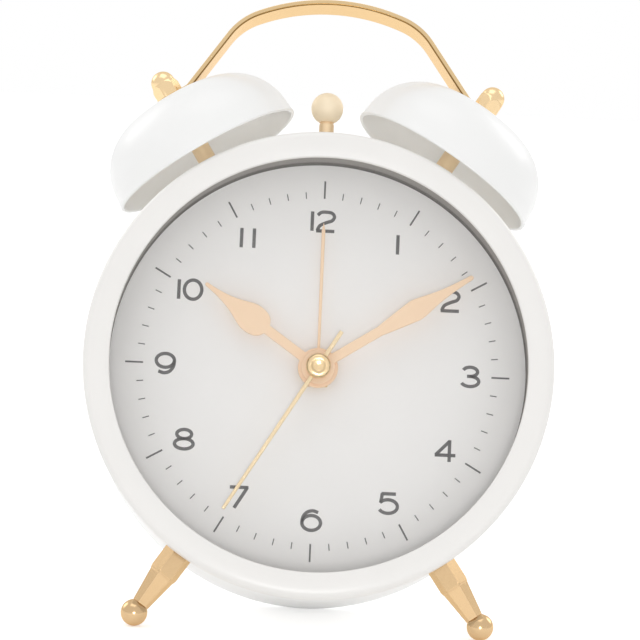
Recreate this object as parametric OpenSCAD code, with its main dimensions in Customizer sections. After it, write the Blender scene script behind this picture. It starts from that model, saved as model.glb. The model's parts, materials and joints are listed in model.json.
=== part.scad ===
// Twin bell alarm clock, leaning back on two turned legs and the rear lower edge of its drum.
// Pieces are drawn upright in the clock's own frame: x to the right, y to the back along the case axis,
// z up, origin on the case axis at the front of the bezel. stand() then leans the clock on the table.

/* [Case] */
// Outer diameter of the front ring
bezel_d = 110.4; // [90:0.2:140]
// Step from the front ring's edge in to the drum
bezel_step = 0.7; // [0.2:0.1:3]
// Width of the drum's edge outside the opening in front of the glass
rim_w = 5.5; // [4.5:0.1:9]
// Depth of the front ring's outer rim
bezel_depth = 5.5; // [4.5:0.1:8]
// Thickness of the lip in front of the glass
bezel_lip = 1.6; // [1:0.1:2.4]
// Rounding of the front ring's outer edge
bezel_round = 1.6; // [0.8:0.1:2.2]
// Radius of the gentle crown across the front ring's face
bezel_crown = 14; // [10:1:40]
// Depth of the sleeve that goes into the drum
sleeve_depth = 17.5; // [16.5:0.1:19]
// Depth of the drum's rear face behind the front ring
case_depth = 47; // [45:0.5:60]
// Sheet thickness of the drum
case_wall = 1; // [0.6:0.1:1.4]
// Outer rounding of the drum's rear edge
rear_round = 2.5; // [1.8:0.1:4]
// Width of the drum's rear flange
flange_w = 8.3; // [7:0.1:10]

/* [Glass and dial] */
// Thickness of the glass
lens_t = 2; // [1.5:0.1:2.5]
// Width of the glass edge held behind the lip
lens_hold = 2.2; // [1.4:0.1:2.6]
// Step of the dark ring outside the opening
ring_step = 0.5; // [0.2:0.1:0.9]
// Depth of the dial face behind the front of the ring
dial_depth = 13.6; // [12.6:0.1:14]
// Thickness of the dial
dial_t = 0.8; // [0.4:0.1:1.2]
// Width of the retaining ring
retainer_w = 2.8; // [2:0.1:6]
// Thickness of the retaining ring
retainer_t = 2.4; // [1.5:0.1:2.6]

/* [Bells] */
// Rim diameter of a bell
bell_d = 48.4; // [40:0.2:50]
// Height of a bell
bell_h = 18; // [17:0.1:24]
// Sheet thickness of a bell
bell_wall = 1; // [0.6:0.1:1.6]
// Rise of the bell's crown above its shoulder arc
bell_crown = 1.1; // [0.6:0.1:3]
// Height of the bell's skirt below the shoulder
bell_skirt = 2.7; // [1.5:0.1:3.4]
// Outward flare of the skirt
bell_flare = 0.45; // [0.2:0.05:1]
// Lean of the bells to the sides
bell_tilt = 32.2; // [29:0.1:36]
// Height above the case axis where the two bell axes cross
bell_cross_z = 6.2; // [4:0.1:8]
// Height of a bell's rim above the drum, along the bell's axis
bell_rise = 4.55; // [3.6:0.05:10]
// Depth of the bells, hammer and handle behind the front ring
bell_y = 23; // [22.5:0.1:26]
// Diameter of the posts under the bells
post_d = 4.5; // [4:0.1:7]
// Diameter of the threaded stud through post, bell and handle
stud_d = 3; // [2:0.1:3.4]
// Width across the flats of the dome nuts
dome_flats = 6.06; // [5.4:0.02:8]
// Height of the dome nuts' hexagon
dome_hex_h = 2.2; // [1.5:0.1:3]
// Width across the flats of the nuts inside the drum
nut_flats = 5.5; // [5:0.1:7]
// Height of the nuts inside the drum
nut_h = 2.4; // [1.8:0.1:3]

/* [Handle] */
// Width of the strip
handle_w = 10.2; // [6:0.1:12]
// Thickness of the strip
handle_t = 1.2; // [0.8:0.1:1.8]
// Height of the arch above the drum
handle_rise = 37.1; // [34:0.1:46]
// Radius of the top of the arch
handle_top_r = 60; // [45:1:90]
// Radius of the arch's shoulders
handle_shoulder_r = 13; // [8:0.5:16]
// Slope of the arch's straight sides
handle_slope = 54.5; // [50:0.5:65]
// Distance from a bell's axis to the bend where its tab starts
tab_len = 7.7; // [7:0.1:11]

/* [Hammer] */
// Diameter of the hammer ball
ball_d = 7.8; // [6:0.1:9]
// Height of the ball above the drum
ball_rise = 11.1; // [10.1:0.1:14]
// Diameter of the hammer rod
rod_d = 3.6; // [2.4:0.1:4]
// Height of the hammer's pivot above the middle between movement and drum
pivot_off = 3.5; // [2.5:0.1:4.5]
// Diameter of the pivot pin
pivot_d = 2; // [1.5:0.1:2.4]
// Swing of the hammer to each side
hammer_swing = 9; // [5:0.5:9]

/* [Legs] */
// Angle of the legs from straight down
leg_angle = 34.4; // [28:0.2:42]
// Depth of the legs behind the front ring
leg_y = 12.5; // [11:0.1:13.5]
// Width across the flats of the leg's hexagon
leg_flats = 6.2; // [5:0.1:8]
// Length of the hexagon
leg_hex_len = 6.8; // [3:0.1:8]
// Length of the chamfer from the hexagon to the cone
leg_chamfer = 1.4; // [0.8:0.1:2]
// Diameter of the cone where it meets the ball foot
leg_neck_d = 3.9; // [3:0.1:5]
// Distance of the ball foot from the drum
leg_len = 17.3; // [14:0.1:24]
// Diameter of the ball foot
foot_d = 6.3; // [5.4:0.1:8]
// Diameter of the stud that screws into the sleeve
leg_stud_d = 4; // [3:0.1:5]

/* [Hands] */
// Length of the hour hand
hour_len = 33.4; // [25:0.2:38]
// Width of the hour hand's leaf
hour_w = 7; // [4:0.1:9]
// Length of the minute hand
minute_len = 42.8; // [35:0.2:46]
// Width of the minute hand's leaf
minute_w = 5.1; // [3.4:0.1:7]
// Width of the stems of both
stem_w = 2.3; // [1.4:0.1:3]
// Length of the second hand
second_len = 40.4; // [30:0.2:46]
// Length of its tail
second_tail = 10; // [6:0.1:14]
// Width of the second hand
second_w = 1; // [0.6:0.1:1.6]
// Length of the alarm hand
alarm_len = 35.2; // [25:0.2:40]
// Width of the alarm hand near its tip
alarm_w = 0.87; // [0.6:0.01:1.4]
// Diameter of the polished cap in the centre
cap_d = 5.85; // [4.5:0.05:7]
// Minutes past ten shown at rest
shown_minutes = 9.5; // [0:0.5:59.5]
// Seconds shown at rest
shown_seconds = 35.2; // [0:0.1:59.9]

/* [Movement] */
// Width of the movement
movement_w = 55; // [52:0.5:60]
// Lower edge of the movement below the case axis
movement_low = 27.5; // [27:0.5:32]
// Upper edge of the movement above the case axis
movement_high = 19.5; // [18:0.1:20.5]
// Wall of the movement's housing
movement_wall = 1.2; // [1:0.1:1.6]
// Running clearance of shafts in their holes
running = 0.05; // [0.02:0.01:0.09]
// Diameter of a setting knob
knob_d = 14; // [10:0.5:17]
// Height of a setting knob
knob_h = 5; // [4:0.1:5.5]
// Grooves round a setting knob
knob_grooves = 24; // [12:1:36]

/* [Back] */
// Step from the drum's edge in to the rear cover
cover_step = 3.5; // [2.8:0.1:4.5]
// Thickness of the rear cover
cover_t = 1.6; // [1.4:0.1:2.2]
// Diameter of the battery
battery_d = 14.2; // [13.5:0.1:14.5]
// Length of the battery
battery_len = 50.5; // [49.5:0.1:50.5]
// Room between the battery bay's corners and the spigot of the cover
bay_edge = 0.54; // [0.4:0.01:2]
// Wall of the battery bay
bay_wall = 1.2; // [0.8:0.1:1.4]
// Travel of the alarm switch
switch_travel = 4; // [2:0.2:5]
// Distance of the cover's screws from the drum's edge
screw_in = 5.7; // [5.2:0.1:6.2]
// Diameter of the cover's screws
screw_d = 2.4; // [2:0.1:2.8]

/* [Hidden] */
$fn = 96;
seat = 0.02;
slip = 0.1;
white = [0.95, 0.945, 0.93];
gold = [0.87, 0.72, 0.48];
peach = [0.95, 0.82, 0.68];
steel = [0.68, 0.69, 0.71];
brass = [0.78, 0.64, 0.32];
cream = [0.87, 0.87, 0.84];
copper = [0.72, 0.42, 0.24];

// Case radii and the rows of pieces behind the glass
barrel_d = bezel_d - 2 * bezel_step;
opening_d = barrel_d - 2 * rim_w;
rear_opening_d = barrel_d - 2 * flange_w;
cover_d = barrel_d - 2 * cover_step;
screw_circle_d = barrel_d - 2 * screw_in;
bezel_r = bezel_d / 2;
opening_r = opening_d / 2;
barrel_r = barrel_d / 2;
barrel_in_r = barrel_r - case_wall;
lens_r = opening_r + lens_hold;
sleeve_in_r = lens_r + slip;
sleeve_r = barrel_in_r - running;
lens_back = bezel_lip + lens_t;
ring_in_r = opening_r + ring_step;
dial_back = dial_depth + dial_t;
face_mid_r = (bezel_r + opening_r) / 2;
bezel_corner_r = bezel_r - bezel_round;
bezel_corner_y = bezel_crown - sqrt(pow(bezel_crown - bezel_round, 2) - pow(bezel_corner_r - face_mid_r, 2));

// Bells: distance of the rim from the crossing of the axes, shoulder arc and the crown that runs on from it
bell_r = bell_d / 2;
axis_miss = bell_cross_z * sin(bell_tilt);
bell_reach = bell_rise - bell_cross_z * cos(bell_tilt) + sqrt(pow(barrel_r, 2) - pow(axis_miss, 2));
bell_shoulder = bell_h - bell_skirt - bell_crown;
bell_x = bell_reach * sin(bell_tilt);
bell_z = bell_cross_z + bell_reach * cos(bell_tilt);
shoulder_max_r = bell_r - bell_flare;
shoulder_r = shoulder_max_r - bell_shoulder;
crown_rise = bell_h - bell_skirt;
crown_r = (pow(crown_rise, 2) + pow(shoulder_r, 2) - pow(bell_shoulder, 2)) / (2 * (crown_rise - bell_shoulder));
crown_z = bell_h - crown_r;
stud_r = stud_d / 2;
post_r = post_d / 2;
// Height on a bell's axis, from its rim, at a radius from the case axis
function on_bell_axis(r) = -bell_cross_z * cos(bell_tilt) + sqrt(r * r - axis_miss * axis_miss) - bell_reach;
nut_corner_r = nut_flats / 2 / cos(30);
nut_top = on_bell_axis(sqrt(pow(barrel_in_r, 2) - pow(nut_corner_r, 2) - 2 * nut_corner_r * axis_miss)) - seat;
stud_low = nut_top - nut_h - 1;
tab_top = bell_h + handle_t;
tab_end_r = 0.62 * handle_w;
dome_r = dome_flats / 2 - 0.18;
dome_h = dome_hex_h + dome_r + 0.1;
stud_high = tab_top + dome_h - 1.8;

// Handle: bend point on the bell's top, shoulder centre and tangent points of the right half
tab_out = [cos(bell_tilt), -sin(bell_tilt)];
tab_up = [sin(bell_tilt), cos(bell_tilt)];
tab_axis = [bell_x, bell_z] + bell_h * tab_up;
bend = tab_axis - tab_len * tab_out + handle_t * tab_up;
side_up = [-cos(handle_slope), sin(handle_slope)];
side_in = [-sin(handle_slope), -cos(handle_slope)];
handle_top = barrel_r + handle_rise;
arch_centre = [0, handle_top - handle_top_r];
from_arch = bend + handle_shoulder_r * side_in - arch_centre;
along_side = -from_arch * side_up + sqrt(pow(from_arch * side_up, 2) - from_arch * from_arch
    + pow(handle_top_r - handle_shoulder_r, 2));
shoulder_centre = arch_centre + from_arch + along_side * side_up;
shoulder_dir = (shoulder_centre - arch_centre) / (handle_top_r - handle_shoulder_r);

// Legs and the lean that puts both ball feet and the drum's rear edge on the table
foot_r = foot_d / 2;
foot_reach = barrel_r + leg_len;
foot_z = foot_reach * cos(leg_angle);
leg_corner_r = leg_flats / 2 / cos(30);
neck_at = foot_reach - sqrt(foot_r * foot_r - pow(leg_neck_d / 2, 2));
hex_end = barrel_r + leg_hex_len;
leg_turn = [53, 40];
lean_rise = foot_z - (barrel_r - rear_round);
lean_run = case_depth - rear_round - leg_y;
lean = atan(lean_rise / lean_run) + asin((foot_r - rear_round) / norm([lean_rise, lean_run]));
stand_z = foot_z * cos(lean) + leg_y * sin(lean) + foot_r;
front_y = bezel_corner_y * cos(lean) - bezel_corner_r * sin(lean) - bezel_round;
bell_side = norm([cos(lean), sin(bell_tilt) * sin(lean)]);
bell_lift = cos(bell_tilt) * sin(lean);
bell_back_y = bell_y * cos(lean) + bell_z * sin(lean) + bell_skirt * bell_lift + shoulder_r * bell_side
    + bell_shoulder * norm([bell_lift, bell_side]);
cover_edge = 0.8;
cover_back_y = (case_depth + cover_t - cover_edge) * cos(lean) + (cover_d / 2 - cover_edge) * sin(lean) + cover_edge;
back_y = max(bell_back_y, cover_back_y);
stand_y = -(front_y + back_y) / 2;

// Hands: front face of each, from the dial outwards, and the concentric pipes that carry them
hand_t = 0.5;
hand_gap = 1.35;
alarm_y = dial_depth - 2.4;
hour_y = alarm_y - hand_gap;
minute_y = hour_y - hand_gap;
second_y = minute_y - hand_gap;
collar_h = 0.55;
cap_front = second_y - 1.8;
minute_angle = shown_minutes * 6;
hour_angle = 300 + shown_minutes / 2;
second_angle = shown_seconds * 6;
second_arbor_r = 0.6;
fine_arbor_r = 0.4;
third_arbor_r = 0.5;
minute_stud_r = 0.55;
minute_pipe_r = 1.15;
hour_pipe_r = 1.8;
alarm_pipe_r = 2.5;
bushing_r = 3.5;
hour_hub_r = 4.75;
minute_hub_r = 4;
alarm_hub_r = 3.4;
hour_flare = 15.2;
hour_widest = 19.6;
minute_flare = 17;
minute_widest = 26.8;
alarm_point = 2;

// Movement: depth of its walls and of each layer of wheels
wall = movement_wall;
front_in = dial_back + wall;
alarm_layer = front_in + 0.4;
hour_layer = alarm_layer + 1.9;
motion_layer = hour_layer + 1.9;
centre_layer = motion_layer + 2;
plate_y = centre_layer + 1.5;
plate_t = 0.7;
rear_in = plate_y + plate_t;
third_layer = rear_in + 0.3;
second_layer = third_layer + 2;
wheel_t = 1.2;
pinion_t = 1.4;
housing_back = rear_in + 5.3;
movement_back = housing_back + wall;
pivot_depth = 0.7;
end_play = 0.1;

// Wheels: tooth counts, tooth size and arbor places, angles counted from three o'clock
rotor_n = 8;
inter_n = 40;
inter_pinion_n = 8;
second_n = 48;
second_pinion_n = 8;
third_n = 60;
third_pinion_n = 8;
centre_n = 64;
cannon_n = 10;
minute_n = 30;
minute_pinion_n = 8;
hour_n = 32;
time_pinion_n = 14;
alarm_n = 36;
alarm_pinion_n = 28;
third_m = 0.3;
centre_m = third_m * (third_n + second_pinion_n) / (centre_n + third_pinion_n);
second_m = 0.3;
rotor_m = 0.28;
motion_m = 0.4;
alarm_m = 0.35;
function polar(r, a) = [r * cos(a), r * sin(a)];
function spacing(m, a, b) = m * (a + b) / 2;
third_dir = 210;
inter_dir = 330;
minute_dir = 40;
time_dir = 10;
alarm_dir = 120;
third_at = polar(spacing(third_m, third_n, second_pinion_n), third_dir);
inter_at = polar(spacing(second_m, second_n, inter_pinion_n), inter_dir);
rotor_at = inter_at + polar(spacing(rotor_m, inter_n, rotor_n), inter_dir);
minute_at = polar(spacing(motion_m, cannon_n, minute_n), minute_dir);
time_at = minute_at + polar(spacing(motion_m, minute_n, time_pinion_n), time_dir);
alarm_at = polar(spacing(alarm_m, alarm_n, alarm_pinion_n), alarm_dir);
// Turn of wheel b that puts a gap of b on a tooth of a, where a has turn a0 and b lies in direction dir
function mesh(na, a0, dir, nb) = dir + 180 + ((dir - a0) * na / 360 + 0.5) * 360 / nb;
third_turn = mesh(second_pinion_n, 0, third_dir, third_n);
centre_turn = mesh(third_pinion_n, third_turn, third_dir + 180, centre_n);
inter_turn = mesh(second_n, 0, inter_dir, inter_pinion_n);
rotor_turn = mesh(inter_n, inter_turn, inter_dir, rotor_n);
minute_wheel_turn = mesh(cannon_n, 0, minute_dir, minute_n);
hour_turn = mesh(minute_pinion_n, minute_wheel_turn, minute_dir + 180, hour_n);
time_turn = mesh(minute_n, minute_wheel_turn, time_dir, time_pinion_n);
alarm_turn = mesh(alarm_n, 0, alarm_dir, alarm_pinion_n);

// Stepping motor beside the rotor, along the line square to its direction
rotor_mag_r = 2.2;
coil_r = 2.3;
coil_len = 15;
coil_out = 6.4;
stator_t = 1;
stator_half = coil_len / 2 + 2.4;

// Striker: lever in the plane of the bells, on a mast of the movement's rear half
ball_z = barrel_r + ball_rise;
pivot_z = (movement_high + barrel_in_r) / 2 + pivot_off;
lever_t = 1.4;
lever_half = 2;
mast_y = bell_y + 3.9;
mast_t = 2;
mast_w = 22;
mast_top = pivot_z + 5;
pivot_r = pivot_d / 2;
lever_hub_r = pivot_r + 1.4;
magnet_w = 5;
magnet_h = 5;
magnet_t = 2;
magnet_drop = 7.5;
pole_gap = 4.8;
pole_w = 2.5;
yoke_front = bell_y - 3.7;
yoke_low = pivot_z - 15.5;
yoke_drop = 5;
yoke_screw_drop = 8;
yoke_screw_in = 4;
yoke_screw_r = 0.8;
core_z = yoke_low + 1.5;
core_y = bell_y - 1.7;
core_r = 1.4;
winding_r = 3.2;
rod_low = pivot_z + 5;
slot_r = rod_d / 2 + 0.6;
slot_end = (barrel_r - pivot_z) * sin(hammer_swing);

// Back: cover, battery bay and slider
cover_back = case_depth + cover_t;
screw_angles = [30, 150, 270];
spigot_r = rear_opening_d / 2 - slip;
bay_half_l = battery_len / 2 + 2.95;
bay_half_h = battery_d / 2 + 0.5;
battery_drop = sqrt(pow(spigot_r - bay_edge, 2) - pow(bay_half_l + bay_wall, 2)) - bay_half_h - bay_wall;
bay_floor = movement_back + 0.5 + bay_wall;
battery_y = bay_floor + 0.2 + battery_d / 2;
door_t = 0.9;
door_lip = 1.4;
door_rib = 0.7;
battery_room = 0.4;
door_back = max(cover_back, battery_y + battery_d / 2 + battery_room + door_rib + door_t);
grip_t = 0.35;
grip_w = 0.8;
grip_pitch = 1.8;
contact_t = 0.4;
contact_h = 10;
contact_strip_h = 4;
contact_x = bay_half_l - 0.4;
knob_y = cover_back + 0.8;
shaft_r = 1.6;
alarm_shaft_r = 1.4;
arbor_r = 0.8;
switch_at = [-27, 4];
switch_w = 4;
switch_len = 5;
switch_plate = 8;
switch_guide = 14;
board_t = 0.8;
board_y = housing_back - board_t;
board_half_w = movement_w / 2 - 3.5;
board_low = movement_low - wall - 0.3;
board_h = 4.4;
terminal_at = [movement_w / 2 - 5, board_low - 2.2];
terminal_r = 0.8;
strip_low = max(battery_drop, terminal_at[1] + contact_strip_h / 2);
strip_high = min(battery_drop, terminal_at[1] + contact_strip_h / 2) - contact_strip_h;

// Leans the upright clock back and sets it on the table
module stand() {
    translate([0, stand_y, stand_z]) rotate([-lean, 0, 0]) children();
}

// Turns a shape made along z to lie along the case axis, pointing to the back
module along_case() {
    rotate([-90, 0, 0]) children();
}

// Plate in the plane of the dial, drawn in x and z, from depth y to y + t
module layer(y, t) {
    translate([0, y + t, 0]) rotate([90, 0, 0]) linear_extrude(t) children();
}

// Round bar along the case axis from y0 to y1 at place p
module bar(p, y0, y1, r) {
    translate([p[0], y0, p[1]]) along_case() cylinder(r = r, h = y1 - y0);
}

module mirrored(side) {
    if (side < 0) mirror([1, 0, 0]) children();
    else children();
}

// Right bell's frame: origin at the rim's centre, z along the bell's axis
module at_bell() {
    translate([bell_x, bell_y, bell_z]) rotate([0, bell_tilt, 0]) children();
}

// Right leg's frame: z outwards from the case axis
module at_leg() {
    translate([0, leg_y, 0]) rotate([0, 180 - leg_angle, 0]) children();
}

// Area with round corners between two corner points
module rounded(low, high, r) {
    difference() {
        translate(low) square(high - low);
        for (c = [[0, 0], [1, 0], [0, 1], [1, 1]])
            translate([c[0] ? high[0] - r : low[0] + r, c[1] ? high[1] - r : low[1] + r]) difference() {
                translate([c[0] ? 0 : -2 * r, c[1] ? 0 : -2 * r]) square(2 * r);
                circle(r);
            }
    }
}

// Toothed wheel outline: root, pitch and tip points of every tooth
module teeth(n, m, pinion = false, turn = 0) {
    tip = pinion ? 0.7 : 0.9;
    root = pinion ? 1.25 : 1.2;
    pitch_share = pinion ? 0.36 : 0.42;
    tip_share = pinion ? 0.2 : 0.16;
    r = n * m / 2;
    half = 180 / n;
    rows = [[r - root * m, -pitch_share], [r, -pitch_share], [r + tip * m, -tip_share],
        [r + tip * m, tip_share], [r, pitch_share], [r - root * m, pitch_share]];
    polygon([for (i = [0 : n - 1]) for (p = rows) polar(p[0], turn + i * 2 * half + p[1] * half)]);
}

// Flat wheel with its teeth at place p
module wheel(p, y, t, n, m, pinion = false, turn = 0) {
    layer(y, t) translate(p) teeth(n, m, pinion, turn);
}

module bezel_section() {
    difference() {
        union() {
            intersection() {
                union() {
                    translate([opening_r, 0]) square([bezel_corner_r - opening_r, bezel_depth]);
                    translate([opening_r, bezel_corner_y]) square([bezel_r - opening_r, bezel_depth - bezel_corner_y]);
                    translate([bezel_corner_r, bezel_corner_y]) circle(bezel_round);
                }
                translate([face_mid_r, bezel_crown]) circle(bezel_crown);
            }
            translate([sleeve_in_r, bezel_lip]) square([sleeve_r - sleeve_in_r, sleeve_depth - bezel_lip]);
        }
        translate([0, bezel_lip]) square([sleeve_in_r, sleeve_depth]);
    }
}

module front_bezel() {
    color(white) difference() {
        along_case() rotate_extrude() bezel_section();
        for (side = [-1, 1]) mirrored(side) at_leg() cylinder(r = leg_stud_d / 2 + seat, h = barrel_r);
    }
}

module lens() {
    color([0.85, 0.9, 0.92, 0.3]) bar([0, 0], bezel_lip, lens_back, lens_r);
}

module dial_ring() {
    color([0.33, 0.32, 0.31]) layer(lens_back, dial_depth - lens_back) difference() {
        circle(lens_r);
        circle(ring_in_r);
    }
}

module dial() {
    color([0.88, 0.88, 0.87]) layer(dial_depth, dial_t) difference() {
        circle(lens_r);
        circle(bushing_r + slip);
    }
}

module retaining_ring() {
    color(steel) layer(dial_back, retainer_t) difference() {
        circle(lens_r);
        circle(lens_r - retainer_w);
    }
}

// Drum section, drawn as radius and depth, without its rear opening
module drum_section(inset) {
    r = barrel_r - inset;
    back = case_depth - inset;
    round = rear_round - inset;
    translate([0, bezel_depth]) square([r, back - round - bezel_depth]);
    translate([0, bezel_depth]) square([r - round, back - bezel_depth]);
    translate([r - round, back - round]) circle(round);
}

module cover_holes(r, y0, y1) {
    for (a = screw_angles) bar(polar(screw_circle_d / 2, a), y0, y1, r);
}

module case_barrel() {
    color(white) difference() {
        along_case() rotate_extrude() difference() {
            drum_section(0);
            drum_section(case_wall);
            square([rear_opening_d / 2, case_depth + 1]);
        }
        for (side = [-1, 1]) mirrored(side) {
            at_leg() cylinder(r = leg_stud_d / 2 + slip, h = barrel_r + 1);
            at_bell() translate([0, 0, -bell_reach / 2]) cylinder(r = stud_r + slip, h = bell_reach / 2);
        }
        translate([-slot_end, bell_y - slot_r, pivot_z]) cube([2 * slot_end, 2 * slot_r, barrel_r - pivot_z + 1]);
        for (x = [-1, 1]) translate([x * slot_end, bell_y, pivot_z]) cylinder(r = slot_r, h = barrel_r - pivot_z + 1);
        cover_holes(screw_d / 2 + seat, case_depth - 2, case_depth + 1);
    }
}

// Turned outline of a leg, as radius and distance from the case axis
module leg_section() {
    translate([0, barrel_r]) square([leg_corner_r + 0.1, leg_hex_len - leg_chamfer]);
    polygon([[0, barrel_r], [leg_corner_r + 0.1, hex_end - leg_chamfer], [leg_flats / 2 - 0.15, hex_end],
        [leg_neck_d / 2, neck_at], [0, neck_at]]);
    intersection() {
        translate([0, foot_reach]) circle(foot_r);
        translate([0, foot_reach - foot_r]) square([foot_r, 2 * foot_r]);
    }
}

module leg(turn) {
    color(gold) {
        intersection() {
            rotate_extrude() leg_section();
            union() {
                rotate(turn) cylinder(r = leg_corner_r, h = hex_end, $fn = 6);
                translate([0, 0, hex_end - seat]) cylinder(r = foot_d, h = foot_reach);
            }
        }
        translate([0, 0, lens_r + 2 * slip]) cylinder(r = leg_stud_d / 2, h = hex_end - lens_r - 1);
    }
}

module leg_left() {
    mirrored(-1) at_leg() leg(leg_turn[0]);
}

module leg_right() {
    at_leg() leg(leg_turn[1]);
}

// Bell section inside its outer face by inset, as radius and height above the rim
module bell_section(inset, low) {
    intersection() {
        translate([0, crown_z]) circle(crown_r - inset);
        union() {
            translate([shoulder_r, bell_skirt]) circle(bell_shoulder - inset);
            translate([0, low]) square([(crown_r - inset) * shoulder_r / (crown_r - bell_shoulder), bell_h]);
            polygon([[0, low], [bell_r - inset, low], [shoulder_max_r - inset, bell_skirt], [0, bell_skirt]]);
        }
        translate([0, low]) square([bell_r, bell_h + 2]);
    }
}

module bell() {
    color(white) at_bell() rotate_extrude() difference() {
        bell_section(0, 0);
        bell_section(bell_wall, -1);
        square([stud_r + slip, bell_h + 1]);
    }
}

module bell_left() {
    mirrored(-1) bell();
}

module bell_right() {
    bell();
}

module bell_posts() {
    seat_z = crown_z + sqrt(pow(crown_r - bell_wall, 2) - post_r * post_r) - seat;
    foot = on_bell_axis(barrel_r);
    color(gold) for (side = [-1, 1]) mirrored(side) {
        difference() {
            at_bell() translate([0, 0, foot - 1]) cylinder(r = post_r, h = seat_z - foot + 1);
            bar([0, 0], bell_y - bell_r, bell_y + bell_r, barrel_r + seat);
        }
        at_bell() translate([0, 0, stud_low]) cylinder(r = stud_r, h = stud_high - stud_low);
    }
}

module post_nuts() {
    color(steel) for (side = [-1, 1]) mirrored(side) at_bell() translate([0, 0, nut_top - nut_h]) difference() {
        cylinder(r = nut_corner_r, h = nut_h, $fn = 6);
        translate([0, 0, -1]) cylinder(r = stud_r + seat, h = nut_h + 2);
    }
}

// Hexagon nut with turned chamfers and a dome
module dome_nut() {
    corner = dome_flats / 2 / cos(30);
    difference() {
        union() {
            intersection() {
                cylinder(r = corner, h = dome_hex_h, $fn = 6);
                rotate_extrude() polygon([[0, 0], [corner, 0], [corner, dome_hex_h - 0.7],
                    [dome_r, dome_hex_h], [0, dome_hex_h]]);
            }
            translate([0, 0, dome_hex_h - 0.1]) intersection() {
                translate([0, 0, 0.2]) sphere(dome_r);
                cylinder(r = dome_flats, h = 2 * dome_r);
            }
        }
        translate([0, 0, -1]) cylinder(r = stud_r + seat, h = dome_h - 0.5);
    }
}

module bell_nuts() {
    color(gold) {
        at_bell() translate([0, 0, tab_top]) rotate(30) dome_nut();
        mirrored(-1) at_bell() translate([0, 0, tab_top]) dome_nut();
    }
}

// Points along an arc from angle a to angle b in n steps
function arc(centre, r, a, b, n) = [for (i = [0 : n]) centre + polar(r, a + (b - a) * i / n)];

// Side view of the strip: top arc, shoulder arcs, straight sides bent into the tabs
module handle_section() {
    half_bend = (handle_slope - bell_tilt) / 2;
    inner_bend = bend - handle_t / cos(half_bend) * polar(1, 90 - bell_tilt - half_bend);
    far = tab_axis + handle_w / 2 * tab_out;
    start = atan2(shoulder_dir[1], shoulder_dir[0]);
    end = 90 - handle_slope;
    half = concat(arc(arch_centre, handle_top_r, 90, start, 8),
        arc(shoulder_centre, handle_shoulder_r, start, end, 8), [bend, far + handle_t * tab_up, far, inner_bend],
        arc(shoulder_centre, handle_shoulder_r - handle_t, end, start, 8),
        arc(arch_centre, handle_top_r - handle_t, start, 90, 8));
    polygon(concat(half, [for (i = [len(half) - 2 : -1 : 1]) [-half[i][0], half[i][1]]]));
}

module handle() {
    color(gold) difference() {
        layer(bell_y - handle_w / 2, handle_w) handle_section();
        for (side = [-1, 1]) mirrored(side) at_bell() {
            translate([0, 0, bell_h - 1]) cylinder(r = stud_r + slip, h = handle_t + 2);
            difference() {
                translate([0, -handle_w, bell_h - 1]) cube([handle_w, 2 * handle_w, handle_t + 2]);
                translate([handle_w / 2 - tab_end_r, 0, bell_h - 2]) cylinder(r = tab_end_r, h = handle_t + 4);
            }
        }
    }
}

module hammer_ball() {
    color(gold) translate([0, bell_y, 0]) difference() {
        translate([0, 0, ball_z]) sphere(ball_d / 2);
        translate([0, 0, ball_z - ball_d]) cylinder(r = rod_d / 2 + seat, h = ball_d - 1);
    }
}

module hammer_rod() {
    color(gold) translate([0, bell_y, rod_low + seat]) cylinder(r = rod_d / 2, h = ball_z - 1 - rod_low - 2 * seat);
}

module hammer_lever() {
    socket_r = rod_d / 2 + 0.7;
    color(steel) difference() {
        union() {
            layer(bell_y - lever_t / 2, lever_t) polygon([[-lever_half, pivot_z - magnet_drop - magnet_h / 2],
                [lever_half, pivot_z - magnet_drop - magnet_h / 2], [lever_half, rod_low], [-lever_half, rod_low]]);
            bar([0, pivot_z], bell_y - lever_t / 2 - 0.5, mast_y - 0.3, lever_hub_r);
            translate([0, bell_y, rod_low - 1]) cylinder(r = socket_r, h = 5.5);
        }
        bar([0, pivot_z], bell_y - bell_r, bell_y + bell_r, pivot_r + running);
        translate([0, bell_y, rod_low]) cylinder(r = rod_d / 2 + seat, h = 10);
    }
}

module hammer_magnet() {
    z = pivot_z - magnet_drop;
    color([0.25, 0.25, 0.27]) layer(bell_y - lever_t / 2 - magnet_t, magnet_t)
        rounded([-magnet_w / 2, z - magnet_h / 2], [magnet_w / 2, z + magnet_h / 2], 0.6);
}

module hammer_pivot() {
    color(steel) bar([0, pivot_z], bell_y - lever_t / 2 - 1.4, mast_y + mast_t, pivot_r);
}

module pivot_clip() {
    color(steel) layer(bell_y - lever_t / 2 - 1.2, 0.5) translate([0, pivot_z]) difference() {
        circle(lever_hub_r);
        circle(pivot_r + seat);
        translate([-0.7, -lever_hub_r - 1]) square([1.4, lever_hub_r + 1]);
    }
}

module striker_yoke() {
    color(steel) difference() {
        union() {
            for (x = [-pole_gap - pole_w, pole_gap]) translate([x, yoke_front, yoke_low])
                cube([pole_w, mast_y - yoke_front, pivot_z - yoke_drop - yoke_low]);
            translate([-pole_gap - 0.5, core_y, core_z]) rotate([0, 90, 0]) cylinder(r = core_r, h = 2 * pole_gap + 1);
        }
        for (x = [-1, 1]) bar([x * (pole_gap + pole_w / 2), pivot_z - yoke_screw_drop], mast_y - yoke_screw_in,
            mast_y + 1, yoke_screw_r + seat);
    }
}

module striker_coil() {
    half = pole_gap - 0.15;
    color(copper) translate([0, core_y, core_z]) rotate([0, 90, 0]) rotate_extrude() difference() {
        union() {
            translate([0, -half]) square([winding_r - 0.5, 2 * half]);
            for (z = [-half, half - 0.6]) translate([0, z]) square([winding_r, 0.6]);
        }
        translate([0, -half - 1]) square([core_r + slip, 2 * half + 2]);
    }
}

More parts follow.
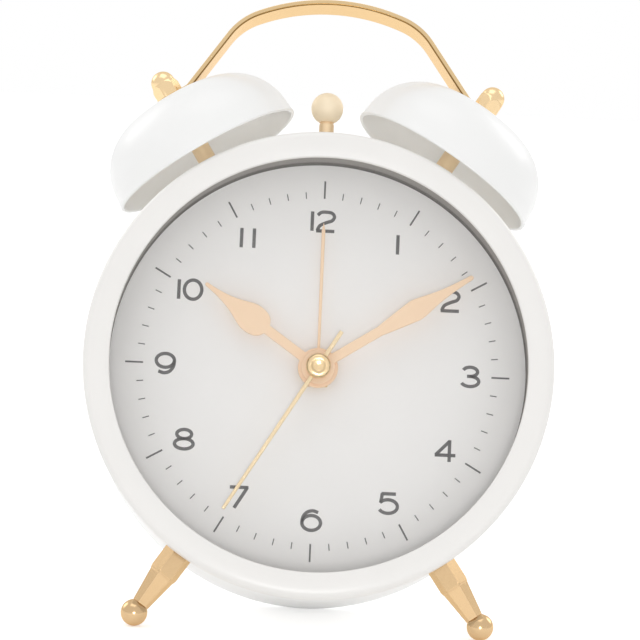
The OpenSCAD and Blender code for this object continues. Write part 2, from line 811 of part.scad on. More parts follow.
module striker_screws() {
    color(steel) for (x = [-1, 1]) {
        bar([x * (pole_gap + pole_w / 2), pivot_z - yoke_screw_drop], mast_y + 0.4 - yoke_screw_in,
            mast_y + mast_t + 0.2, yoke_screw_r);
        bar([x * (pole_gap + pole_w / 2), pivot_z - yoke_screw_drop], mast_y + mast_t, mast_y + mast_t + 1.1,
            2 * yoke_screw_r);
    }
}

module dial_nut() {
    color(brass) layer(dial_depth - 1.2, 1.2) difference() {
        circle(r = 4.7, $fn = 6);
        circle(bushing_r + seat);
    }
}

// Outline of the movement's housing inside its edge by inset
module housing(inset) {
    half = movement_w / 2 - inset;
    rounded([-half, inset - movement_low], [half, movement_high - inset], 4 - inset);
}

module movement_front() {
    color(cream) {
        difference() {
            union() {
                layer(dial_back, plate_y - dial_back) difference() {
                    housing(0);
                    housing(wall);
                }
                layer(dial_back, wall) housing(wall / 2);
                bar([0, 0], dial_depth - 1.4, dial_back + wall, bushing_r);
            }
            bar([0, 0], 0, plate_y, alarm_pipe_r + running);
            bar(third_at, front_in - pivot_depth, plate_y, third_arbor_r + running);
            for (p = [time_at, alarm_at]) bar(p, front_in - pivot_depth, plate_y, arbor_r + running);
        }
        bar(minute_at, front_in - seat, motion_layer + pinion_t + end_play, minute_stud_r);
    }
}

module movement_plate() {
    color(cream) layer(plate_y, plate_t) difference() {
        housing(0);
        circle(second_arbor_r + running);
        translate(third_at) circle(third_arbor_r + running);
        translate(inter_at) circle(fine_arbor_r + running);
        translate(rotor_at) circle(fine_arbor_r + running);
        translate(time_at) circle(shaft_r + running);
        translate(alarm_at) circle(alarm_shaft_r + running);
    }
}

module movement_rear() {
    color(cream) difference() {
        union() {
            layer(rear_in, movement_back - rear_in) difference() {
                housing(0);
                housing(wall);
            }
            layer(housing_back, wall) housing(wall / 2);
            at_motor(second_layer + stator_t + seat) for (x = [-1, 1]) translate([x * (stator_half - 1.5), 0, 0])
                along_case() cylinder(r = 1.2, h = housing_back - second_layer - stator_t);
            layer(mast_y, mast_t) rounded([-mast_w / 2, movement_high - wall / 2], [mast_w / 2, mast_top], 0.5);
        }
        bar([0, pivot_z], mast_y - 1, mast_y + mast_t + 1, pivot_r + seat);
        for (x = [-1, 1]) bar([x * (pole_gap + pole_w / 2), pivot_z - yoke_screw_drop], mast_y - 1,
            mast_y + mast_t + 1, yoke_screw_r + slip);
        bar([0, 0], rear_in, housing_back + pivot_depth, fine_arbor_r + running);
        bar(third_at, rear_in, housing_back + pivot_depth, third_arbor_r + running);
        for (p = [inter_at, rotor_at]) bar(p, rear_in, housing_back + pivot_depth, fine_arbor_r + running);
        bar(time_at, rear_in, movement_back + 1, shaft_r + running);
        bar(alarm_at, rear_in, movement_back + 1, alarm_shaft_r + running);
        for (x = [-1, 1]) bar([x * terminal_at[0], -terminal_at[1]], rear_in, movement_back + 1, terminal_r + slip);
    }
}

module circuit_board() {
    color([0.16, 0.4, 0.25]) {
        layer(board_y, board_t) translate([-board_half_w, -board_low]) square([2 * board_half_w, board_h]);
        for (x = [-1, 1]) bar([x * terminal_at[0], -terminal_at[1]], board_y, movement_back, terminal_r);
        translate([-9, board_y - 0.8, 1.2 - board_low]) rotate([0, 90, 0]) cylinder(r = 0.9, h = 6);
        bar([4, board_h / 2 - board_low], board_y - 0.8, board_y + 0.1, 1.8);
    }
}

// Frame of the stepping motor: x square to the rotor's direction, origin on the rotor
module at_motor(y) {
    translate([rotor_at[0], y, rotor_at[1]]) rotate([0, 90 - inter_dir, 0]) children();
}

module step_stator() {
    color(steel) at_motor(second_layer) difference() {
        union() {
            translate([-stator_half, 0, -2.9]) cube([2 * stator_half, stator_t, 5.8]);
            for (x = [-stator_half, stator_half - 2]) translate([x, 0, 0]) cube([2, stator_t, coil_out + 1.2]);
        }
        translate([0, -1, 0]) along_case() cylinder(r = rotor_mag_r + 0.3, h = stator_t + 2);
    }
}

module step_coil() {
    core = 2 * (stator_half - 2 - seat);
    color(copper) at_motor(second_layer + stator_t / 2) translate([0, 0, coil_out]) rotate([0, 90, 0]) {
        rotate_extrude() {
            translate([0, -coil_len / 2]) square([coil_r - 0.5, coil_len]);
            for (z = [-coil_len / 2, coil_len / 2 - 0.8]) translate([0, z]) square([coil_r, 0.8]);
        }
        translate([0, 0, -core / 2]) cylinder(r = 0.9, h = core);
    }
}

module step_rotor() {
    color([0.3, 0.3, 0.32]) {
        bar(rotor_at, plate_y + end_play, housing_back + pivot_depth - end_play, fine_arbor_r);
        wheel(rotor_at, third_layer - 0.1, pinion_t, rotor_n, rotor_m, true, rotor_turn);
        bar(rotor_at, second_layer - 0.2, second_layer + stator_t + 0.2, rotor_mag_r);
    }
}

module intermediate_wheel() {
    color(brass) {
        bar(inter_at, plate_y + end_play, housing_back + pivot_depth - end_play, fine_arbor_r);
        wheel(inter_at, third_layer, wheel_t, inter_n, rotor_m, false, inter_turn);
        wheel(inter_at, second_layer - 0.1, pinion_t, inter_pinion_n, second_m, true, inter_turn);
    }
}

module second_wheel() {
    color(brass) {
        bar([0, 0], cap_front + 1, second_layer, second_arbor_r);
        bar([0, 0], second_layer - end_play, housing_back + pivot_depth - end_play, fine_arbor_r);
        wheel([0, 0], third_layer - 0.1, pinion_t, second_pinion_n, third_m, true, 0);
        wheel([0, 0], second_layer, wheel_t, second_n, second_m, false, 0);
    }
}

module third_wheel() {
    color(brass) {
        bar(third_at, front_in - pivot_depth + end_play, housing_back + pivot_depth - end_play, third_arbor_r);
        wheel(third_at, centre_layer - 0.1, pinion_t, third_pinion_n, centre_m, true, third_turn);
        wheel(third_at, third_layer, wheel_t, third_n, third_m, false, third_turn);
    }
}

module centre_wheel() {
    color(brass) difference() {
        wheel([0, 0], centre_layer, wheel_t, centre_n, centre_m, false, centre_turn);
        bar([0, 0], centre_layer - 1, plate_y, minute_pipe_r + running);
    }
}

module minute_pipe() {
    color(brass) difference() {
        union() {
            bar([0, 0], minute_y - 0.1, plate_y - 0.1, minute_pipe_r);
            wheel([0, 0], motion_layer, pinion_t, cannon_n, motion_m, true, 0);
        }
        bar([0, 0], 0, plate_y + 1, second_arbor_r + running);
    }
}

module minute_wheel() {
    color(brass) difference() {
        union() {
            wheel(minute_at, motion_layer + 0.1, wheel_t, minute_n, motion_m, false, minute_wheel_turn);
            wheel(minute_at, hour_layer - 0.1, motion_layer - hour_layer + 0.3, minute_pinion_n, motion_m, true,
                minute_wheel_turn);
        }
        bar(minute_at, front_in, plate_y, minute_stud_r + running);
    }
}

// Wheel on a pipe that runs on the pipe inside it
module pipe_wheel(y, n, m, turn, r, bore, front) {
    difference() {
        union() {
            bar([0, 0], front, y + wheel_t, r);
            wheel([0, 0], y, wheel_t, n, m, false, turn);
        }
        bar([0, 0], 0, plate_y, bore + running);
    }
}

module hour_wheel() {
    color(brass) pipe_wheel(hour_layer, hour_n, motion_m, hour_turn, hour_pipe_r, minute_pipe_r, hour_y - 0.1);
}

module alarm_wheel() {
    color(brass) pipe_wheel(alarm_layer, alarm_n, alarm_m, 0, alarm_pipe_r, hour_pipe_r, alarm_y - 0.1);
}

// Point of a cubic curve with four control points
function curve(a, b, c, d, t) = pow(1 - t, 3) * a + 3 * pow(1 - t, 2) * t * b + 3 * (1 - t) * t * t * c + t * t * t * d;

// Leaf hand pointing up: stem, curved shoulder to the widest place, hollow taper to a round tip
module leaf_hand(len, wide, start, widest, full, tip_r) {
    half = wide / 2;
    stem = stem_w / 2;
    flare = [[stem, start], [stem + 0.8 * full * (half - stem), start + 0.15 * (widest - start)],
        [half - (1 - full) * 0.6 * (half - stem), start + 0.5 * (widest - start)], [half, widest]];
    taper = [[half, widest], [half - (1 - full) * 0.25, widest + 0.2 * (len - widest)],
        [tip_r + 0.35, widest + 0.32 * (len - widest)], [tip_r, len - tip_r]];
    side = concat([[stem, 0]], [for (i = [0 : 8]) curve(flare[0], flare[1], flare[2], flare[3], i / 8)],
        [for (i = [1 : 10]) curve(taper[0], taper[1], taper[2], taper[3], i / 10)]);
    polygon(concat(side, [for (i = [len(side) - 1 : -1 : 0]) [-side[i][0], side[i][1]]]));
    translate([0, len - tip_r]) circle(tip_r);
}

// Hand plate with a round hub, and a collar behind it on the pipe of radius r
module hand(y, t, angle, hub_r, r) {
    difference() {
        union() {
            layer(y, t) rotate(-angle) {
                children();
                circle(hub_r);
            }
            bar([0, 0], y, y + t + collar_h, r + 0.8);
        }
        bar([0, 0], y - 1, y + t + collar_h + 1, r + seat);
    }
}

module hour_hand() {
    color(peach) hand(hour_y, hand_t, hour_angle, hour_hub_r, hour_pipe_r)
        leaf_hand(hour_len, hour_w, hour_flare, hour_widest, 1, 0.45);
}

module minute_hand() {
    color(peach) hand(minute_y, hand_t, minute_angle, minute_hub_r, minute_pipe_r)
        leaf_hand(minute_len, minute_w, minute_flare, minute_widest, 0.25, 0.55);
}

module second_hand() {
    color(gold) hand(second_y, 0.4, second_angle, 1.9, second_arbor_r)
        polygon([[-second_w / 2, -second_tail], [second_w / 2, -second_tail], [second_w / 2, 0],
            [second_w * 0.4, second_len], [-second_w * 0.4, second_len], [-second_w / 2, 0]]);
}

module alarm_hand() {
    color(peach) hand(alarm_y, 0.4, 0, alarm_hub_r, alarm_pipe_r)
        polygon([[-0.3, 0], [0.3, 0], [alarm_w / 2, alarm_len - alarm_point], [0, alarm_len],
            [-alarm_w / 2, alarm_len - alarm_point]]);
}

module second_hand_cap() {
    r = cap_d / 2;
    edge = 0.9;
    color(gold) translate([0, second_y, 0]) rotate([90, 0, 0]) difference() {
        rotate_extrude() {
            square([r - edge, second_y - cap_front]);
            square([r, second_y - cap_front - edge]);
            translate([r - edge, second_y - cap_front - edge]) circle(edge);
        }
        translate([0, 0, -1]) cylinder(r = second_arbor_r + seat, h = second_y - cap_front);
        translate([0, 0, second_y - cap_front + 3.7]) sphere(4);
    }
}

// Setting shaft: front pivot, pinion in its layer, stem out through the back
module set_shaft(p, y, n, m, turn, r) {
    bar(p, front_in - pivot_depth + 0.1, y + pinion_t, arbor_r);
    wheel(p, y, pinion_t, n, m, true, turn);
    bar(p, y + pinion_t - 0.1, knob_y + 3.5, r);
}

// Setting knob with a grooved edge and a blind socket for its shaft
module set_knob(p, r) {
    difference() {
        layer(knob_y, knob_h) translate(p) difference() {
            circle(knob_d / 2);
            for (i = [0 : knob_grooves - 1]) translate(polar(knob_d / 2 + 0.25, i * 360 / knob_grooves))
                circle(0.7, $fn = 24);
        }
        bar(p, knob_y - 1, knob_y + 3.5 + seat, r + seat);
        bar(p, knob_y + knob_h - 0.6, knob_y + knob_h + 1, knob_d / 2 - 1.8);
    }
}

module time_set_shaft() {
    color(cream) set_shaft(time_at, motion_layer, time_pinion_n, motion_m, time_turn, shaft_r);
}

module time_set_knob() {
    color(white) set_knob(time_at, shaft_r);
}

module alarm_set_shaft() {
    color(cream) set_shaft(alarm_at, alarm_layer - 0.1, alarm_pinion_n, alarm_m, alarm_turn, alarm_shaft_r);
}

module alarm_set_knob() {
    color(white) set_knob(alarm_at, alarm_shaft_r);
}

module battery() {
    color([0.3, 0.32, 0.35]) translate([0, battery_y, -battery_drop]) rotate([0, 90, 0]) {
        translate([0, 0, -battery_len / 2]) cylinder(r = battery_d / 2, h = battery_len - 1);
        translate([0, 0, battery_len / 2 - 1.1]) cylinder(r = 2.7, h = 1.1);
    }
}

module battery_contacts() {
    half = battery_len / 2;
    bow = contact_x - half - seat;
    bow_r = (pow(contact_h / 2, 2) + bow * bow) / (2 * bow);
    low = -battery_drop - contact_h / 2;
    color(brass) {
        for (x = [-1, 1]) {
            translate([x > 0 ? contact_x : -contact_x - contact_t, movement_back + seat, low])
                cube([contact_t, battery_y + 4 - movement_back, contact_h]);
            translate([x > 0 ? terminal_at[0] - 1.5 : -contact_x - contact_t, movement_back + seat, -strip_low])
                cube([contact_x + contact_t - terminal_at[0] + 1.5, contact_t, strip_low - strip_high]);
        }
        translate([half + seat, battery_y, -battery_drop]) rotate([0, 90, 0]) cylinder(r = 2.4, h = bow + 0.1);
        intersection() {
            translate([-half - seat - bow_r, battery_y - 4, -battery_drop]) along_case() difference() {
                cylinder(r = bow_r, h = 8);
                translate([0, 0, -1]) cylinder(r = bow_r - contact_t, h = 10);
            }
            translate([-contact_x - contact_t / 2, battery_y - 5, low]) cube([bow + contact_t, contact_h, contact_h]);
        }
    }
}

// Area of the battery bay's inside, grown by out
module bay(out) {
    rounded([-bay_half_l - out, -battery_drop - bay_half_h - out],
        [bay_half_l + out, -battery_drop + bay_half_h + out], 1);
}

module back_cover() {
    color(white) difference() {
        union() {
            along_case() rotate_extrude() {
                translate([0, case_depth]) square([cover_d / 2, cover_t - cover_edge]);
                translate([0, case_depth]) square([cover_d / 2 - cover_edge, cover_t]);
                translate([cover_d / 2 - cover_edge, cover_back - cover_edge]) circle(cover_edge);
                translate([spigot_r - 1.5, case_depth - 2.5]) square([1.5, 3]);
            }
            layer(bay_floor - bay_wall, case_depth - bay_floor + bay_wall + 0.5) bay(bay_wall);
            if (door_back > cover_back + seat)
                layer(case_depth, door_back - case_depth) bay(door_lip + slip + bay_wall);
            for (x = [-1, 1]) translate([switch_at[0] + x * (switch_plate / 2 + 0.9) - 0.7, case_depth - 2.2,
                switch_at[1] - switch_guide / 2]) cube([1.4, 2.4, switch_guide]);
        }
        layer(bay_floor, cover_back) bay(0);
        layer(door_back - door_t, door_t + 1) bay(door_lip + slip);
        layer(case_depth - 5, cover_t + 10) translate(switch_at) rounded([-switch_w / 2 - 0.2,
            -(switch_len + switch_travel) / 2 - 0.3], [switch_w / 2 + 0.2, (switch_len + switch_travel) / 2 + 0.3], 0.6);
        bar(time_at, case_depth - 1, cover_back + 1, shaft_r + 0.3);
        bar(alarm_at, case_depth - 1, cover_back + 1, alarm_shaft_r + 0.3);
        cover_holes(screw_d / 2 + slip, case_depth - 1, cover_back + 1);
        for (x = [-1, 1]) translate([x * (contact_x + contact_t / 2) - contact_t / 2 - 0.15, bay_floor - bay_wall - 1,
            -battery_drop - contact_h / 2 - 0.15]) cube([contact_t + 0.3, bay_wall + 2, contact_h + 0.3]);
    }
}

module battery_door() {
    color(white) {
        difference() {
            layer(door_back - door_t, door_t) bay(door_lip);
            for (i = [-2 : 2]) translate([-bay_half_l / 2 + i * grip_pitch - grip_w / 2, door_back - grip_t,
                -battery_drop - bay_half_h / 2]) cube([grip_w, 1, bay_half_h]);
        }
        layer(door_back - door_t - door_rib, door_rib + 0.1) difference() {
            bay(-0.3);
            bay(-1.5);
        }
    }
}

module alarm_switch() {
    z = switch_at[1] - switch_travel / 2;
    color([0.75, 0.74, 0.72]) {
        layer(case_depth - 1.4, 1.2) rounded([switch_at[0] - switch_plate / 2, z - switch_len / 2 - 1.5],
            [switch_at[0] + switch_plate / 2, z + switch_len / 2 + 1.5], 0.6);
        difference() {
            layer(case_depth - 1, cover_t + 2.8) rounded([switch_at[0] - switch_w / 2, z - switch_len / 2],
                [switch_at[0] + switch_w / 2, z + switch_len / 2], 0.5);
            for (i = [-1 : 1]) translate([switch_at[0] - switch_w, cover_back + 1.8 - grip_t,
                z + i * 1.4 - grip_w / 2]) cube([2 * switch_w, 1, grip_w]);
        }
    }
}

module cover_screws() {
    color(steel) for (a = screw_angles) difference() {
        union() {
            bar(polar(screw_circle_d / 2, a), case_depth - 4, cover_back + 0.1, screw_d / 2);
            bar(polar(screw_circle_d / 2, a), cover_back, cover_back + 1.3, screw_d * 0.92);
        }
        translate([polar(screw_circle_d / 2, a)[0], cover_back + 1.3, polar(screw_circle_d / 2, a)[1]])
            for (turn = [0, 90]) rotate([0, turn, 0]) cube([screw_d, 1.4, 0.5], center = true);
    }
}

stand() front_bezel();
stand() lens();
stand() dial_ring();
stand() dial();
stand() retaining_ring();
stand() case_barrel();
stand() back_cover();
stand() cover_screws();
stand() leg_left();
stand() leg_right();
stand() bell_left();
stand() bell_right();
stand() bell_posts();
stand() post_nuts();
stand() bell_nuts();
stand() handle();
stand() hammer_ball();
stand() hammer_rod();
stand() hammer_lever();
stand() hammer_magnet();
stand() hammer_pivot();
stand() pivot_clip();
stand() striker_yoke();
stand() striker_coil();
stand() striker_screws();
stand() dial_nut();
stand() movement_front();
stand() movement_plate();
stand() movement_rear();
stand() circuit_board();
stand() step_coil();
stand() step_stator();
stand() step_rotor();
stand() intermediate_wheel();
stand() second_wheel();
stand() third_wheel();
stand() centre_wheel();
stand() minute_pipe();
stand() minute_wheel();
stand() hour_wheel();
stand() alarm_wheel();
stand() hour_hand();
stand() minute_hand();
stand() second_hand();
stand() second_hand_cap();
stand() alarm_hand();
stand() time_set_shaft();
stand() time_set_knob();
stand() alarm_set_shaft();
stand() alarm_set_knob();
stand() alarm_switch();
stand() battery();
stand() battery_contacts();
stand() battery_door();
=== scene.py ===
# %% [markdown]
# # Dressing a twin bell alarm clock
# The solids of this clock were drawn in CAD and packed with their joints. This lesson gives them their
# looks. Every piece that shows is drawn again as a fine numpy surface in the place of its solid, and the
# wheels and plates inside the case keep their solids and get a finish. We load the solids first. The
# dressed clock has to stay inside it.

# %% Load the imported clock
import json
import math

import bmesh
import bpy
import numpy as np
from mathutils import Matrix


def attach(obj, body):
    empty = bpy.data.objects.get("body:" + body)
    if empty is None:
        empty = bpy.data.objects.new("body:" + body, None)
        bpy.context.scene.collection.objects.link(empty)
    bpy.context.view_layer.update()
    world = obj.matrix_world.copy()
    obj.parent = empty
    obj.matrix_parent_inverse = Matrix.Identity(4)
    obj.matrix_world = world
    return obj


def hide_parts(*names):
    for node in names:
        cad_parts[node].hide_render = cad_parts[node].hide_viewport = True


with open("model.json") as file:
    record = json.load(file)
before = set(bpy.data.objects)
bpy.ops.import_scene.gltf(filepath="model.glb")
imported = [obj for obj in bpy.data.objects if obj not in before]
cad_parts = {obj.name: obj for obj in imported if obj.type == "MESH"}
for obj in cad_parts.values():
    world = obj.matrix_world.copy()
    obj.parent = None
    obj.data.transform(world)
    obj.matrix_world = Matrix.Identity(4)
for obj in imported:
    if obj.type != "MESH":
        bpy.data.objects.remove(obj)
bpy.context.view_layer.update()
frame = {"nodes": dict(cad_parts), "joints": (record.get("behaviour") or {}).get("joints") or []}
nodes = frame["nodes"]

# %% [markdown]
# ## The clock's own frame
# The clock leans back on two legs and the rear edge of its drum, so almost nothing on it is square to the
# table. Sizes are far easier to write in a frame that leans with it: x to the right, y along the case axis
# to the back, z up the dial, in millimetres, from the middle of the front ring. The axle of the second hand
# is the case axis, so its joint gives the lean, and one matrix carries points from the clock to the table.

# %% Carry points from the clock to the table
axle = next(joint for joint in frame["joints"] if joint["name"] == "second_turn")
BACK = np.array(axle["axis"], float)
RIGHT = np.array([1.0, 0.0, 0.0])
UP = np.cross(RIGHT, BACK)
AXES = np.stack([RIGHT, BACK, UP])
AXLE_DEPTH = 20.0
CENTRE = np.array(axle["pos_m"], float) - AXLE_DEPTH / 1000 * BACK


def to_table(points):
    """Middle of the front ring plus x times right, y times back and z times up, with mm made metres."""
    return CENTRE + np.asarray(points, float) / 1000 @ AXES


print("lean in degrees:", round(math.degrees(math.acos(BACK[1])), 2))

# %% [markdown]
# ## The camera
# The photographer stood almost square to the dial and a little below its axis, because the clock leans
# back. The numbers come from fitting a pinhole camera to the rims of the case and the bells. A long lens
# keeps the drum from spreading behind the front ring.

# %% Place the camera
TILT, TURN, ROLL = np.radians([8.92, 1.54, 2.38])
DISTANCE = 746.625
FOCAL_PIXELS = 3201.075
AIM_OFFSET = np.array([-0.149, 9.824])
IMAGE_PIXELS = 640
SENSOR = 36.0
FAR_CLIP = 50.0


def put_in_scene(name, data):
    """A new object of the scene, at the origin, that shows a mesh, a lamp or a camera."""
    thing = bpy.data.objects.new(name, data)
    bpy.context.scene.collection.objects.link(thing)
    return thing


def spin(angle, axis):
    """Turn by an angle about one axis of a frame, as a 3 by 3 matrix."""
    c, s = math.cos(angle), math.sin(angle)
    matrix = np.eye(3)
    a, b = [(1, 2), (0, 2), (0, 1)][axis]
    matrix[[a, b], [a, b]] = c
    matrix[a, b] = -s
    matrix[b, a] = s
    return matrix


looking = np.array([[1, 0, 0], [0, 0, -1], [0, 1, 0]], float)
view_rows = spin(ROLL, 2) @ looking @ spin(-TILT, 0) @ spin(TURN, 2)
eye = -view_rows.T @ np.array([*AIM_OFFSET, DISTANCE])
placed = np.eye(4)
placed[:3, :3] = (np.stack([view_rows[0], -view_rows[1], -view_rows[2]]) @ AXES).T
placed[:3, 3] = to_table(eye)
lens = bpy.data.cameras.new("photo_camera")
lens.sensor_width = SENSOR
lens.lens = FOCAL_PIXELS / IMAGE_PIXELS * SENSOR
lens.clip_end = FAR_CLIP
camera = put_in_scene("photo_camera", lens)
camera.matrix_world = Matrix(placed.tolist())
bpy.context.scene.camera = camera
print("camera at", np.round(placed[:3, 3], 3).tolist(), "lens", round(lens.lens, 1))

# %% [markdown]
# ## Grids into meshes
# Every surface below is a grid of points: rows and columns worked out by a formula as one numpy array.
# Blender could draw them with spin and extrude tools, but a formula says exactly which curve is meant, and
# the same function then serves bells, knobs and legs. Points that meet, at a pole or a seam, are merged,
# the normals are turned outwards, and edges sharper than a chosen angle stay crisp.

# %% Turn grids into a piece
MERGE = 2e-6
CRISP = 32


def grid_faces(rows, columns, wrap_rows, wrap_columns):
    """Corners of a cell: (i, j), (i+1, j), (i+1, j+1), (i, j+1), counted round where the grid closes."""
    i = np.arange(rows if wrap_rows else rows - 1)[:, None]
    j = np.arange(columns if wrap_columns else columns - 1)[None, :]
    below, beside = (i + 1) % rows, (j + 1) % columns
    corners = [i * columns + j, below * columns + j, below * columns + beside, i * columns + beside]
    return np.stack(corners, -1).reshape(-1, 4)


def join_sheets(sheets):
    """One list of points and faces from several grids, each given as (grid, wrap rows, wrap columns)."""
    points, faces, count = [], [], 0
    for grid, wrap_rows, wrap_columns in sheets:
        points.append(np.asarray(grid, float).reshape(-1, 3))
        faces.append(grid_faces(*grid.shape[:2], wrap_rows, wrap_columns) + count)
        count += len(points[-1])
    return to_table(np.concatenate(points)), np.concatenate(faces)


def close_and_smooth(mesh, sharp):
    """Merge points that meet, drop empty faces, turn normals outwards, keep edges over the sharp angle."""
    work = bmesh.new()
    work.from_mesh(mesh)
    bmesh.ops.remove_doubles(work, verts=work.verts, dist=MERGE)
    bmesh.ops.dissolve_degenerate(work, edges=work.edges, dist=MERGE / 10)
    bmesh.ops.recalc_face_normals(work, faces=work.faces)
    work.to_mesh(mesh)
    work.free()
    mesh.polygons.foreach_set("use_smooth", np.ones(len(mesh.polygons), bool))
    mesh.set_sharp_from_angle(angle=math.radians(sharp))


def dress(solid, finish):
    """One finish in every material slot of a CAD solid."""
    for material_slot in solid.material_slots:
        material_slot.material = finishes[finish]


def make_piece(name, sheets, finish, replaced=None, body="clock", sharp=CRISP, dark_line=None):
    """A named piece from its sheets with a finish, riding on a body; its dark line mark says where a painted
    dark line goes.
    """
    points, faces = join_sheets(sheets)
    mesh = bpy.data.meshes.new(name)
    mesh.from_pydata(points.tolist(), [], faces.tolist())
    if dark_line is not None:
        mesh.attributes.new("painted_dark_line", "FLOAT", "POINT").data.foreach_set("value", dark_line)
    close_and_smooth(mesh, sharp)
    mesh.materials.append(finishes[finish])
    piece = put_in_scene(name, mesh)
    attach(piece, body)
    if replaced:
        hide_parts(replaced)
        dress(nodes[replaced], finish)
    print(name, "faces", len(mesh.polygons), "on", body)
    return piece


print("points nearer than", MERGE, "m are merged")

# %% [markdown]
# ## Turned work and rounded corners
# Most of a clock is turned on a lathe: a section, drawn as radius and height, swept round an axis. Real
# edges are never knife sharp, so a section is drawn with corners and each corner is then rolled into an
# arc. The arc leaves both edges at the same distance from the corner, which makes it tangent to them. A
# guard point just before and after the arc keeps the smooth shading of the corner from bending the flat
# beside it.

# %% Sections and lathe
X_AXIS, Y_AXIS, Z_AXIS = np.eye(3)
SMALL, HEX_COUNT, FINE, LARGE = 96, 192, 224, 288
ROLL_STEPS = 5
GUARD = 0.15
ON_AXIS = 1e-6


def unit(vectors):
    """The same directions with length 1."""
    return vectors / np.linalg.norm(vectors, axis=-1, keepdims=True)


def roll_corners(corners, radii, steps=ROLL_STEPS):
    """Each corner becomes an arc: its tangents are radius over tan of half the corner, its centre on the
    bisector."""
    corners = np.asarray(corners, float)
    before, after = np.roll(corners, 1, 0), np.roll(corners, -1, 0)
    t = np.linspace(0, 1, steps + 1)[:, None]
    out = []
    for p, a, b, radius in zip(corners, before, after, radii):
        if radius == 0:
            out.append(p[None])
            continue
        u, v = unit(a - p), unit(b - p)
        half = math.acos(np.clip(u @ v, -1, 1)) / 2
        tangent = radius / math.tan(half)
        centre = p + unit(u + v) * radius / math.sin(half)
        start, end = p + u * tangent - centre, p + v * tangent - centre
        sweep = math.pi - 2 * half
        bent = centre + (np.sin((1 - t) * sweep) * start + np.sin(t * sweep) * end) / math.sin(sweep)
        out.append(np.concatenate([[bent[0] + GUARD * radius * u], bent, [bent[-1] + GUARD * radius * v]]))
    return np.concatenate(out)


def arc(centre, radius, start, end, count):
    """Points of a circle from one angle to another, in degrees."""
    t = np.radians(np.linspace(start, end, count))
    return np.asarray(centre, float) + radius * np.stack([np.cos(t), np.sin(t)], -1)


def turned(section, origin=(0, 0, 0), axis=Y_AXIS, side=X_AXIS, count=FINE, start=0.0, limit=None):
    """Origin plus height along the axis plus radius round it, held below a limit of angle and height.
    The sheet closes round the axis, and along the section too where that doesn't end on the axis."""
    section = np.asarray(section, float)
    angle = start + np.linspace(0, 2 * np.pi, count, endpoint=False)
    out = np.cos(angle)[:, None] * side + np.sin(angle)[:, None] * np.cross(axis, side)
    radius = np.broadcast_to(section[None, :, 0], (count, len(section)))
    if limit is not None:
        radius = np.minimum(radius, limit(angle[:, None], section[None, :, 1]))
    grid = np.asarray(origin, float) + section[None, :, 1, None] * axis + radius[..., None] * out[:, None]
    return grid, True, bool(section[-1, 0] > ON_AXIS)


def hexagon(flats, corner_at):
    """Radius of a hexagon: half the width across flats over the cosine from the middle of a flat."""
    sixth = np.pi / 3
    return lambda angle, height: flats / 2 / np.cos((angle - corner_at) % sixth - sixth / 2)


def mirrored(sheet):
    """The same sheet on the left side of the clock."""
    grid, *closed = sheet
    return grid * np.array([-1.0, 1.0, 1.0]), *closed


print("points round a piece:", SMALL, HEX_COUNT, FINE, LARGE)

# %% [markdown]
# ## A skin for every finish
# No real surface has one flat colour. Lacquer has a faint orange peel, cast and moulded plastic a dull
# grain, polished metal a haze of hairlines. All of them are the same idea: a slow cloud that shifts the
# colour, and a fine grain that shifts the gloss and lifts the surface. That idea is one shader group, built
# once from two noise textures on object coordinates, and each finish places it with its own values.

# %% The shared skin group
COLOUR, NUMBER, VECTOR = "NodeSocketColor", "NodeSocketFloat", "NodeSocketVector"
CLOUD_SHARE = 0.05
GRAIN_DETAIL, CLOUD_DETAIL = 3, 2


def new_group(name, inputs, outputs):
    """An empty shader group with named sockets, its entry and its exit."""
    group = bpy.data.node_groups.new(name, "ShaderNodeTree")
    for label, kind, value in inputs:
        group.interface.new_socket(label, in_out="INPUT", socket_type=kind).default_value = value
    for label, kind in outputs:
        group.interface.new_socket(label, in_out="OUTPUT", socket_type=kind)
    return group, group.nodes.new("NodeGroupInput"), group.nodes.new("NodeGroupOutput")


def feed(tree, value, socket):
    """Link an output to a socket, or set the socket to a plain value."""
    if isinstance(value, bpy.types.NodeSocket):
        tree.links.new(value, socket)
    else:
        socket.default_value = value


def add_math(tree, operation, *values):
    """A math node whose inputs are outputs of other nodes or plain numbers."""
    node = tree.nodes.new("ShaderNodeMath")
    node.operation = operation
    for value, socket in zip(values, node.inputs):
        feed(tree, value, socket)
    return node.outputs[0]


def add_noise(tree, vector, scale, detail):
    """A noise texture on a vector."""
    node = tree.nodes.new("ShaderNodeTexNoise")
    for label, value in (("Vector", vector), ("Scale", scale), ("Detail", detail)):
        feed(tree, value, node.inputs[label])
    return node.outputs["Fac"]


def add_blend(tree, mask, low, high):
    """Colour that goes from low to high with a mask."""
    node = tree.nodes.new("ShaderNodeMix")
    node.data_type = "RGBA"
    for label, value in (("Factor", mask), ("A", low), ("B", high)):
        feed(tree, value, node.inputs[label])
    return node.outputs["Result"]


skin_group, entry, exit_node = new_group("surface_skin", [
    ("Light", COLOUR, (0.9, 0.9, 0.9, 1)), ("Dark", COLOUR, (0.8, 0.8, 0.8, 1)), ("Gloss loss", NUMBER, 0.4),
    ("Gloss spread", NUMBER, 0.1), ("Grain per metre", NUMBER, 900.0), ("Stretch", VECTOR, (1, 1, 1))],
    [("Colour", COLOUR), ("Roughness", NUMBER), ("Height", NUMBER)])
place = skin_group.nodes.new("ShaderNodeTexCoord").outputs["Object"]
stretch = skin_group.nodes.new("ShaderNodeVectorMath")
stretch.operation = "MULTIPLY"
skin_group.links.new(place, stretch.inputs[0])
skin_group.links.new(entry.outputs["Stretch"], stretch.inputs[1])
cloud_scale = add_math(skin_group, "MULTIPLY", entry.outputs["Grain per metre"], CLOUD_SHARE)
grain = add_noise(skin_group, stretch.outputs[0], entry.outputs["Grain per metre"], GRAIN_DETAIL)
cloud = add_noise(skin_group, place, cloud_scale, CLOUD_DETAIL)
centred = add_math(skin_group, "SUBTRACT", grain, 0.5)
